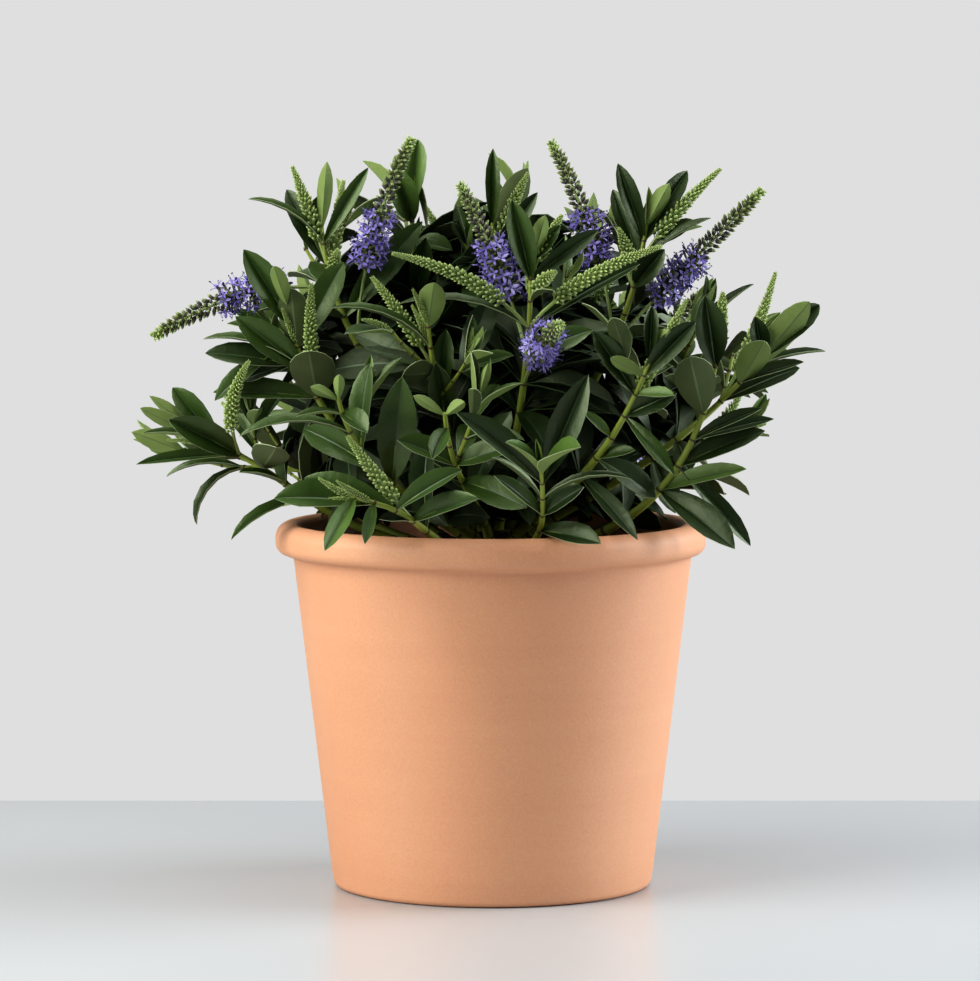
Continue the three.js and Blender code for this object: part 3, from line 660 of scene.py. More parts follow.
# %% Branches in front
BRANCH_FIELDS = ("name", "tip", "tier", "azimuth", "run", "lean", "heading", "roll", "sides", "racemes")
FRONT_BRANCHES = [
    ("right_front", (124, -75, 308), 0, -32, 96, 10, -30, 20, 1, [
        (0, (126, -78, 338))]),
    ("right_outer", (152, -44, 304), 1, -14, 84, 40, -8, 50, 1, [(3, (158, -22, 347))]),
    ("mid_right", (86, -103, 304), 1, -50, 70, 24, -35, 70, 1, [(3, (106, -80, 334))]),
    ("centre_front", (26, -138, 246), 0, -74, 92, 42, -95, 5, 1, []),
    ("centre_low", (-26, -118, 276), 1, -96, 74, 25, -100, 40, 1, []),
    ("left_front", (-84, -144, 232), 0, -112, 112, 82, 202, 0, 0, [(4, (-78, -122, 262))]),
    ("left_low", (-84, -112, 284), 1, -126, 74, 20, -130, 15, 1, []),
    ("far_left", (-162, -34, 256), 0, -166, 96, 68, 182, 30, 1, [(2, (-133, -92, 301))]),
    ("left_mid", (-112, -60, 330), 1, -156, 74, 8, -160, 25, 1, [(4, (-99, -76, 343))]),
    ("left_top", (-96, -10, 374), 2, 188, 84, 4, 180, 60, 1, [
        (2, (-112, -10, 406)), (3, (-84, 6, 398)), (3, (-86, -42, 360)),
        (3, (-189, -30, 312), (0.24, 0.58)), (5, (-45, -34, 422), (0.35, 0.62))]),
    ("upper_left", (-36, -74, 330), 2, -126, 66, 10, -110, 10, 1, [(3, (-66, -66, 346))]),
    ("centre", (21, -66, 356), 2, -70, 74, 3, 90, 80, 0, [
        (3, (91, -104, 364)), (3, (-54, -94, 360)), (4, (-18, -46, 397), (0.3, 0.64)),
        (5, (36, -132, 323), (0.35, 0.72)), (1, (38, -62, 380)), (2, (34, -94, 350))]),
    ("top_left", (-46, 20, 386), 2, 150, 84, 2, 160, 45, 1, []),
    ("top_centre", (0, 12, 376), 2, 72, 90, 2, 90, 15, 1, [(2, (20, 14, 402))]),
    ("top_right", (86, -20, 376), 2, -14, 84, 6, 0, 30, 0, [
        (2, (127, -20, 405)), (3, (70, -40, 372)), (5, (33, 0, 420), (0.36, 0.62)),
        (5, (151, -10, 393), (0.26, 0.56), 0.05)]),
    ("right_top", (114, 36, 312), 1, 14, 84, 22, 15, 0, 1, []),
]

# %% [markdown]
# Behind, the branches stand in rings, in a rising dome. Each has two racemes whose tips stand out and
# up from the branch's own tip, and every other branch has its second one in bloom.

# %% Branches behind
BACK_RINGS = [
    {"name": "back_low", "azimuths": (20, 55, 90, 125, 160), "radius": 146, "height": 254, "tier": 0,
     "run": 92, "lean": 60, "first_roll": 0},
    {"name": "back_mid", "azimuths": (45, 80, 115, 150), "radius": 116, "height": 318, "tier": 1,
     "run": 78, "lean": 24, "first_roll": 20},
    {"name": "back_top", "azimuths": (30, 110), "radius": 62, "height": 362, "tier": 2,
     "run": 84, "lean": 10, "first_roll": 40},
]
BACK_RACEMES = [
    {"rank": 2, "turn": 50, "out": 18, "up": 20, "bloom": None},
    {"rank": 4, "turn": -40, "out": 40, "up": 14, "bloom": (0.34, 0.62)},
]


def ring_branches(ring, spec):
    """The branches of one ring, as rows like those in front."""
    rows = []
    for i, azimuth in enumerate(spec["azimuths"]):
        tip = pointing(azimuth, 90) * spec["radius"] + UP * spec["height"]
        racemes = []
        for raceme in BACK_RACEMES:
            end = tip + pointing(azimuth + raceme["turn"], 90) * raceme["out"] + UP * raceme["up"]
            racemes.append((raceme["rank"], end, raceme["bloom"] if (i + ring) % 2 else None))
        rows.append((f"{spec['name']}_{i + 1}", tip, spec["tier"], azimuth, spec["run"], spec["lean"],
                     azimuth, spec["first_roll"] + 35 * i, 1, racemes))
    return rows


BRANCHES = [dict(zip(BRANCH_FIELDS, row)) for row in FRONT_BRANCHES]
for ring, spec in enumerate(BACK_RINGS):
    BRANCHES += [dict(zip(BRANCH_FIELDS, row)) for row in ring_branches(ring, spec)]
print("branches:", len(BRANCHES))

# %% [markdown]
# ### The rule for a shoot
#
# Leaves sit in pairs, and each pair is turned a quarter against the one below. Pairs are counted down
# from the tip: the count is a pair's rank. At the tip the pairs are short, upright and close together.
# Further down they are long, they stand out and bend back, and the stem between them has stretched.

# %% Growth of a shoot
SEED = 1400
TIERS = [{"radius": 8, "height": 8, "rise": 8}, {"radius": 8, "height": 15, "rise": 30},
         {"radius": 6.5, "height": 19, "rise": 62}]
BOUGH = {"root_radius": 2.9, "tip_radius": 2.5, "least_length": 26}
STEM = {"leafy_length": 112, "tip_radius": 1.2, "above_first_pair": 3, "below_last_pair": 5}
SIDE_SHOOT = {"length": 54, "root_radius": 1.6, "tip_radius": 0.9, "vigour": 0.82, "angle": 42, "room": 11,
              "first_rank": 3}
LEAF = {"length": 56, "share_at_tip": 0.62, "width_share": 0.36, "root_depth": 0.35, "lowest": 17}
# Degrees at the tip of a shoot, how many more where leaves are full grown, and how far leaves differ.
LEAF_ANGLES = {"pitch": (14, 54, 14), "bend": (-14, 44, 16)}
PAIR_TURN = {"each": 90, "spread": 24}
INTERNODE = {"long": 19, "short": 8, "ranks": 2.2}


def maturity(rank, ranks=2.4):
    """From 0 at a shoot's tip to 1 where its leaves are full grown."""
    return 1 - math.exp(-rank / ranks)


def internode(rank):
    """The distance from a leaf pair to the next one down the stem."""
    stretched = maturity(rank, INTERNODE["ranks"])
    return INTERNODE["short"] + (INTERNODE["long"] - INTERNODE["short"]) * stretched


def leaf_of_rank(rank, vigour, random):
    """A leaf's length, its angle from the stem, how it bends back and twists, and its sag."""
    grown, at_tip = maturity(rank), LEAF["share_at_tip"]
    share = at_tip + (1 - at_tip) * maturity(rank, 1.5)
    length = LEAF["length"] * vigour * share * (0.92 + 0.16 * random())
    pitch, bend = (young + more * grown + spread * (random() - 0.5)
                   for young, more, spread in LEAF_ANGLES.values())
    twist = 36 * (random() - 0.5)
    return {"length": length, "pitch": pitch, "bend": bend, "twist": twist, "sag": 0.16 * grown * random()}


def turned(side, along, turn):
    """A direction square to a stem, turned about it."""
    return side * math.cos(turn) + np.cross(side, along) * math.sin(turn)


def grow_shoot(stem, roll, vigour, mass):
    """Adds a stem and its leaf pairs to a mass, and returns its nodes from the tip down."""
    line, first = stem["line"], stem["first"]
    random = mass["random"]
    mass["stems"].append({**stem, "vigour": vigour, "nodes": []})
    nodes = mass["stems"][-1]["nodes"]
    left = line.length * (1 - first) - STEM["above_first_pair"]
    rank = 0
    while left > STEM["below_last_pair"]:
        share = first + left / line.length
        along = line.along(share)
        turn = math.radians(roll + PAIR_TURN["each"] * rank + PAIR_TURN["spread"] * (random() - 0.5))
        out = turned(square_to(stem["across"], along), along, turn)
        place = (share - first) / (1 - first)
        radius = stem["root_radius"] + (stem["tip_radius"] - stem["root_radius"]) * place
        node = {"rank": rank, "share": share, "root": line.at(share), "along": along, "out": out,
                "radius": radius, "vigour": vigour, "mass": mass["name"], "stem": len(mass["stems"]) - 1}
        nodes.append(node)
        for way in (1, -1):
            mass["leaves"].append({**node, "out": out * way, **leaf_of_rank(rank, vigour, random)})
        left -= internode(rank) * vigour
        rank += 1
    return nodes


# %% [markdown]
# Each branch is one long curve. Its lower part is the bough, and the last 112 mm is the leafy stem that
# carries its racemes. Side shoots come out of leaf axils, the corners between leaf and stem, wherever
# they have room.

# %% Growth of the masses
ARM_SHARE = 0.36  # how far the last control point stands from the tip, over the whole way
TRAIL_STEPS = 9
RACEME_RISE = 0.5


def branch_line(row):
    """The whole curve of a branch, from inside the trunk to its tip."""
    tier = TIERS[row["tier"]]
    root = pointing(row["azimuth"], 90) * tier["radius"] + UP * (COMPOST_TOP + tier["height"])
    tip = np.array(row["tip"], float)
    arm = ARM_SHARE * np.linalg.norm(tip - root)
    setting_out = pointing(row["azimuth"], 90 - tier["rise"]) * row["run"]
    return Line(root, root + setting_out, tip - pointing(row["heading"], row["lean"]) * arm, tip)


def raceme_at(node, tip, bloom=None, rise=RACEME_RISE):
    """A raceme that grows from a leaf pair to its tip."""
    grown_from = {key: node[key] for key in ("root", "along", "share", "mass", "stem")}
    return {**grown_from, "tip": np.array(tip, float), "bloom": bloom, "rise": rise}


def grow_mass(index, row):
    """A branch with its bough, main stem, leaves and racemes."""
    line = branch_line(row)
    fork = max(BOUGH["least_length"], line.length - STEM["leafy_length"]) / line.length
    across = pointing(row["azimuth"] + 90, 90)
    mass = {**row, "line": line, "fork": fork, "across": across, "stems": [], "leaves": [],
            "random": seeded(SEED + index)}
    stem = {"line": line, "first": fork + 0.3 / line.length, "root_radius": BOUGH["tip_radius"],
            "tip_radius": STEM["tip_radius"], "across": across}
    nodes = grow_shoot(stem, row["roll"], 1, mass)
    mass["spikes"] = [raceme_at(nodes[rank], *raceme) for rank, *raceme in row["racemes"]]
    return mass


def side_line(node, out, length, angle):
    """Out of a leaf's axil at an angle, then turning up."""
    start = node["along"] * math.cos(math.radians(angle)) + out * math.sin(math.radians(angle))
    end = unit(start + UP * 0.5)
    middle = node["root"] + start * length / 2
    return Line(node["root"], middle, middle + end * length / 2)


def trail(line):
    """Points along a curve, for judging the room between stems."""
    return line.at(np.arange(1, TRAIL_STEPS + 1) / TRAIL_STEPS)


def has_room(points, trails, room):
    """Whether a trail keeps clear of the pot and of other trails."""
    if points[:, 2].min() <= POT["height"] + SIDE_SHOOT["room"]:
        return False
    gaps = np.linalg.norm(points[:, None, :] - np.array(trails)[None, :, :], axis=2)
    return gaps.min() >= room


def try_side(mass, node, out, length, habit, trails, roll):
    """Grows a side shoot out of an axil if it has room there, and says whether it has."""
    line = side_line(node, out, length, habit["angle"])
    points = trail(line)[2:]
    if not has_room(points, trails, habit["room"]):
        return False
    trails.extend(points)
    stem = {"line": line, "first": 0.0, "root_radius": habit["root_radius"],
            "tip_radius": habit["tip_radius"], "across": square_to(np.cross(node["along"], out), UP)}
    grow_shoot(stem, roll(), habit["vigour"], mass)
    return True


def grow_sides(mass, trails):
    """Grows a mass's side shoots from the first axils that have room, the outer side first."""
    random = mass["random"]
    outward = np.array((mass["tip"][0], mass["tip"][1], SIDE_SHOOT["length"]))
    wanted = mass["sides"]
    for node in list(mass["stems"][0]["nodes"][SIDE_SHOOT["first_rank"]:]):
        length = SIDE_SHOOT["length"] * (0.85 + 0.3 * random())
        roll = 90 * random()
        nearer = np.sign(node["out"] @ outward)
        for way in (nearer, -nearer) if wanted > 0 else ():
            if try_side(mass, node, node["out"] * way, length, SIDE_SHOOT, trails, lambda: roll):
                wanted -= 1
                break


MASSES = [grow_mass(index, row) for index, row in enumerate(BRANCHES)]
TRAILS = [point for mass in MASSES for point in trail(mass["line"])]
for mass in MASSES:
    grow_sides(mass, TRAILS)
print("stems:", sum(len(mass["stems"]) for mass in MASSES),
      "leaves to place:", sum(len(mass["leaves"]) for mass in MASSES))

# %% [markdown]
# ### Finer growth
#
# The frame's solids stop at the larger twigs. The real shrub goes on: more axils carry short side
# shoots, each tip holds one more pair of tiny folded leaves, and many tips hide a young raceme or two
# between them. They follow the same rule with smaller sizes and stay near the same solid. Old pairs
# line the boughs above the rim and more leaves fill the inside, which keeps the crown dark, and these
# inner leaves wear the darkest tones as painted shade.

# %% Finer twigs
FINE_SHOOTS = {"per_stem": 2, "length": 38, "vigour": 0.66, "room": 8.5, "root_radius": 1.3,
               "tip_radius": 0.8, "angle": 48}
TIP_PAIR = {"rank": -1, "share": 0.62, "pitch": 7, "sunk": 1.5}
INNER_LEAVES = {"rank": 2, "each": 6, "vigour": 1.0}
OLD_LEAVES = {"rank": 7, "above_rim": -2, "apart": 8.5, "vigour": 0.95,
              "open_front": ("centre_front", "left_front", "right_front", "right_outer")}
YOUNG_SPIKES = {"chance": 0.42, "length": (18, 36), "angle": 17}


def grow_fine_shoots(mass, fine, trails):
    """Short side shoots from axils that the larger ones left free."""
    for parent in list(mass["stems"]):
        wanted = FINE_SHOOTS["per_stem"] if parent is mass["stems"][0] else 1
        for node in parent["nodes"][2:]:
            for way in (1, -1) if wanted > 0 else ():
                out, length = node["out"] * way, FINE_SHOOTS["length"] * (0.7 + 0.5 * fine())
                if try_side(mass, node, out, length, FINE_SHOOTS, trails, lambda: 90 * fine()):
                    wanted -= 1
                    break


def add_tip_growth(mass, fine):
    """A tiny folded pair at each tip, and young racemes in some of the upper axils."""
    low, high = YOUNG_SPIKES["length"]
    for stem in mass["stems"]:
        first = stem["nodes"][0]
        along = stem["line"].along(1.0)
        root = stem["line"].at(1.0) - along * TIP_PAIR["sunk"]
        side = np.cross(along, first["out"])
        longest = LEAF["length"] * stem["vigour"] * LEAF["share_at_tip"] * TIP_PAIR["share"]
        for way in (1, -1):
            mass["leaves"].append({
                **first, "rank": TIP_PAIR["rank"], "root": root, "along": along, "out": side * way,
                "radius": stem["tip_radius"], "length": longest * (0.9 + 0.2 * fine()),
                "pitch": TIP_PAIR["pitch"] + 4 * fine(), "bend": -8 - 6 * fine(),
                "twist": 20 * (fine() - 0.5), "sag": 0.0})
        for node in stem["nodes"][1:3]:
            for way in (1, -1):
                if fine() < YOUNG_SPIKES["chance"] * stem["vigour"] ** 2:
                    lean = math.radians(YOUNG_SPIKES["angle"] * (0.8 + 0.6 * fine()))
                    away = node["along"] * math.cos(lean) + node["out"] * way * math.sin(lean)
                    length = (low + (high - low) * fine()) * stem["vigour"]
                    mass["young_spikes"].append(raceme_at(node, node["root"] + away * length))


def add_old_leaves(mass, fine):
    """Older pairs along the bough above the rim."""
    line, rank = mass["line"], OLD_LEAVES["rank"]
    left = mass["fork"] * line.length - 6
    while left > 0 and line.at(left / line.length)[2] > POT["height"] + OLD_LEAVES["above_rim"]:
        share = left / line.length
        along = line.along(share)
        out = turned(square_to(mass["across"], along), along, math.radians(90 * rank + 40 * fine()))
        node = {**mass["stems"][0]["nodes"][0], "rank": rank, "share": share, "root": line.at(share),
                "along": along, "radius": BOUGH["tip_radius"], "vigour": 1}
        for way in (1, -1):
            if mass["name"] in OLD_LEAVES["open_front"] and out[1] * way < 0.2:
                continue
            drawn = leaf_of_rank(rank, OLD_LEAVES["vigour"], fine)
            mass["leaves"].append({**node, "out": out * way, **drawn})
        left -= OLD_LEAVES["apart"]
        rank += 1


def add_inner_leaves(mass, fine):
    """More leaves at the older nodes, which are kept where the crown hides them from outside."""
    for stem in mass["stems"]:
        for node in stem["nodes"][INNER_LEAVES["rank"]:]:
            side = square_to(mass["across"], node["along"])
            for _ in range(INNER_LEAVES["each"]):
                out = turned(side, node["along"], math.tau * fine())
                drawn = leaf_of_rank(node["rank"] + 1, INNER_LEAVES["vigour"], fine)
                mass["leaves"].append({**node, "out": out, "inner": True, **drawn})


for mass in MASSES:
    for leaf in mass["leaves"]:
        leaf["fine"] = False
for index, mass in enumerate(MASSES):
    fine = seeded(SEED + 500 + index)
    mass["young_spikes"] = []
    grow_fine_shoots(mass, fine, TRAILS)
    add_tip_growth(mass, fine)
    add_old_leaves(mass, fine)
    add_inner_leaves(mass, fine)
print("stems:", sum(len(mass["stems"]) for mass in MASSES),
      "leaves to place:", sum(len(mass["leaves"]) for mass in MASSES),
      "young racemes:", sum(len(mass["young_spikes"]) for mass in MASSES))

# %% [markdown]
# ## A leaf
#
# A hebe leaf has no stalk. It is a lance-shaped blade, folded a little along its midrib, with a thin
# pale edge, and it is duller and paler beneath. Colour that has a place on the leaf is given to faces:
# strips for the midrib, the blade, the edge and the underside, each with its own plain finish.
#
# The blank is a flat grid, extruded down once for its thickness and drawn together at the tip. Its
# underside is hardly seen and keeps fewer lines. It lies on parameters, not millimetres: X is the share
# of the half width, Y the share of the length, and Z is 0 on the upper side and -1 below. Every leaf is
# this blank with its points put in place by one formula, which is cheap to repeat a thousand times.
# Leaves deep inside have a simpler blank, and a simpler one still stands in while leaves look for room.

# %% Blanks
class Blank:
    """A shape made once with operators, kept as arrays that many copies are made from."""

    def __init__(self, bm, slot_of=lambda face: 0):
        bm.verts.index_update()
        self.points = np.array([vert.co for vert in bm.verts])
        self.polygons = [[vert.index for vert in face.verts] for face in bm.faces]
        self.loops = np.concatenate(self.polygons)
        self.sizes = np.array([len(polygon) for polygon in self.polygons])
        self.slots = np.array([slot_of(face) for face in bm.faces])
        bm.free()


BLADE, RIB, EDGE, UNDER, UNDER_RIB, RIB_FOOT = range(6)
RIB_SHARE = 0.05
RIB_FOOT_SHARE = 0.4
LEAF_COLUMNS = (-0.94, -0.5, -RIB_SHARE, RIB_SHARE, 0.5, 0.94)
LEAF_ROWS = (0, 0.08, 0.2, 0.37, 0.56, 0.74, 0.88, 0.96, 1)
INNER_COLUMNS, INNER_ROWS = (-0.93, -RIB_SHARE, RIB_SHARE, 0.93), (0, 0.2, 0.45, 0.7, 0.9, 1)
TRIAL_COLUMNS, TRIAL_ROWS = (-0.85, 0, 0.85), (0, 0.3, 0.6, 0.85, 0.97)
NOT_BENEATH = (0.1, 0.8)  # the underside has no lines between these shares of the half width


def grid_on(columns, rows):
    """A flat grid with its lines at the given places."""
    bm = bmesh.new()
    bmesh.ops.create_grid(bm, x_segments=len(columns) - 1, y_segments=len(rows) - 1, size=1)
    for vert in bm.verts:
        column = round((vert.co.x + 1) / 2 * (len(columns) - 1))
        row = round((vert.co.y + 1) / 2 * (len(rows) - 1))
        vert.co = (columns[column], rows[row], 0)
    return bm


def leaf_slot(face):
    """Which part of the leaf a face of the blank belongs to."""
    levels = {round(vert.co.z) for vert in face.verts}
    if len(levels) > 1:
        return EDGE
    on_rib = abs(face.calc_center_median().x) < RIB_SHARE
    if levels == {0}:
        if on_rib:
            return RIB_FOOT if face.calc_center_median().y < RIB_FOOT_SHARE else RIB
        return BLADE
    return UNDER_RIB if on_rib else UNDER


def leaf_blank(columns, rows):
    """A closed leaf on its parameters, pointed at the tip."""
    bm = grid_on(columns, rows)
    lower = bmesh.ops.extrude_face_region(bm, geom=list(bm.faces))["geom"]
    lower_verts = [g for g in lower if isinstance(g, bmesh.types.BMVert)]
    bmesh.ops.translate(bm, verts=lower_verts, vec=(0, 0, -1))
    inside = [edge for edge in bm.edges
              if all(vert.co.z == -1 and NOT_BENEATH[0] < abs(vert.co.x) < NOT_BENEATH[1]
                     for vert in edge.verts)]
    bmesh.ops.dissolve_edges(bm, edges=inside, use_verts=True)
    for level in (0, -1):
        tip = [v for v in bm.verts if v.co.y == rows[-1] and round(v.co.z) == level]
        bmesh.ops.pointmerge(bm, verts=tip, merge_co=(0, rows[-1], level))
    bmesh.ops.recalc_face_normals(bm, faces=bm.faces)
    return bm


LEAF_BLANK = Blank(leaf_blank(LEAF_COLUMNS, LEAF_ROWS), leaf_slot)
INNER_BLANK = Blank(leaf_blank(INNER_COLUMNS, INNER_ROWS), leaf_slot)
LEAF_TRIAL = Blank(leaf_blank(TRIAL_COLUMNS, TRIAL_ROWS))
print("a leaf has", len(LEAF_BLANK.sizes), "faces, and its trial shape", len(LEAF_TRIAL.sizes))

# %% [markdown]
# The leaf's spine bends evenly from its pitch, and its tip sags. Across the spine the two halves rise
# from the midrib by the fold and bulge a little, and the whole leaf twists towards its tip. Young
# leaves are folded far more than old ones, which is what makes the pale spears at the tips.

# %% Shape of a leaf
LEAF_THICKNESS = {"edge": 0.5, "rib": 0.95}
FOLD = {"young": 46, "old": 30, "spread": 20}
BULGE = 0.1
RIB_HOLLOW = 0.25
NECK = {"width": 0.13, "steepness": 4}
NARROWING = {"root": 0.4, "tip": 0.5, "tip_length": 0.22, "tip_starts": 3.55}  # in tip lengths


def leaf_outline(share, fullness):
    """Half of a leaf's width at a share of its length, over its greatest half width."""
    body = np.maximum(4 * share * (1 - share), 0) ** fullness
    neck = NECK["width"] * np.clip(1 - share * NECK["steepness"], 0, 1)
    into_tip = np.clip(share / NARROWING["tip_length"] - NARROWING["tip_starts"], 0, 1)
    pointed = 1 - NARROWING["tip"] * into_tip**2
    return np.maximum(body * (1 - NARROWING["root"] * (1 - share) ** 3) * pointed, neck)


def leaf_points(leaf, blank):
    """The blank's points where this leaf has them, in millimetres."""
    across_share, share, level = blank.points.T
    along, out, length = leaf["along"], leaf["out"], leaf["length"]
    bend = math.radians(leaf["bend"] if abs(leaf["bend"]) >= 1 else 1)
    start = math.radians(leaf["pitch"])
    angle = start + bend * share
    rise = length * (np.sin(angle) - math.sin(start)) / bend
    reach = length * (math.cos(start) - np.cos(angle)) / bend + LEAF["root_depth"] * leaf["radius"]
    spine = leaf["root"] + along * rise[:, None] + out * reach[:, None]
    spine = spine - UP * (leaf["sag"] * length * share**2)[:, None]
    side = np.cross(along, out)
    normal = along * np.sin(angle)[:, None] - out * np.cos(angle)[:, None]
    turn = (math.radians(leaf["twist"]) * share)[:, None]
    across = side * np.cos(turn) + normal * np.sin(turn)
    upward = normal * np.cos(turn) - side * np.sin(turn)
    half = length * LEAF["width_share"] * leaf["broad"] / 2 * leaf_outline(share, leaf["fullness"])
    fold = math.radians(leaf["fold"]) * np.clip(1.15 - 0.35 * share, 0, 1)
    away = np.abs(across_share)
    lift = half * (away * np.sin(fold) + BULGE * np.sin(math.pi * away))
    lift = lift + leaf["wave"] * half * away**2 * np.sin(share * 9 + np.sign(across_share))
    lift = lift - RIB_HOLLOW * (away < RIB_SHARE + 0.01) * (level == 0)
    thickness = LEAF_THICKNESS["edge"] + (LEAF_THICKNESS["rib"] - LEAF_THICKNESS["edge"]) * (1 - away)
    lift = lift + level * thickness * np.clip(1.6 - share, 0.5, 1)
    aside = across_share * half * np.cos(fold)
    return spine + across * aside[:, None] + upward * lift[:, None]


def add_leaf_character(leaf, random):
    """The draws that only a close look shows: fold, fullness, breadth and a slight wave."""
    young = math.exp(-max(leaf["rank"], 0) / 1.3)
    fold = FOLD["old"] + (FOLD["young"] - FOLD["old"]) * young + FOLD["spread"] * (random() - 0.5)
    leaf["fold"] = fold if leaf["rank"] >= 0 else FOLD["young"] + 12
    leaf["fullness"] = (0.54 if leaf["rank"] > 1 else 0.68) + 0.14 * random()
    leaf["broad"] = (1.0 + 0.2 * random()) * (1 if leaf["rank"] > 0 else 0.9)
    leaf["wave"] = 0.16 * (random() - 0.5)
    leaf["draw"] = random()


for index, mass in enumerate(MASSES):
    character = seeded(SEED + 1000 + index)
    for leaf in mass["leaves"]:
        add_leaf_character(leaf, character)
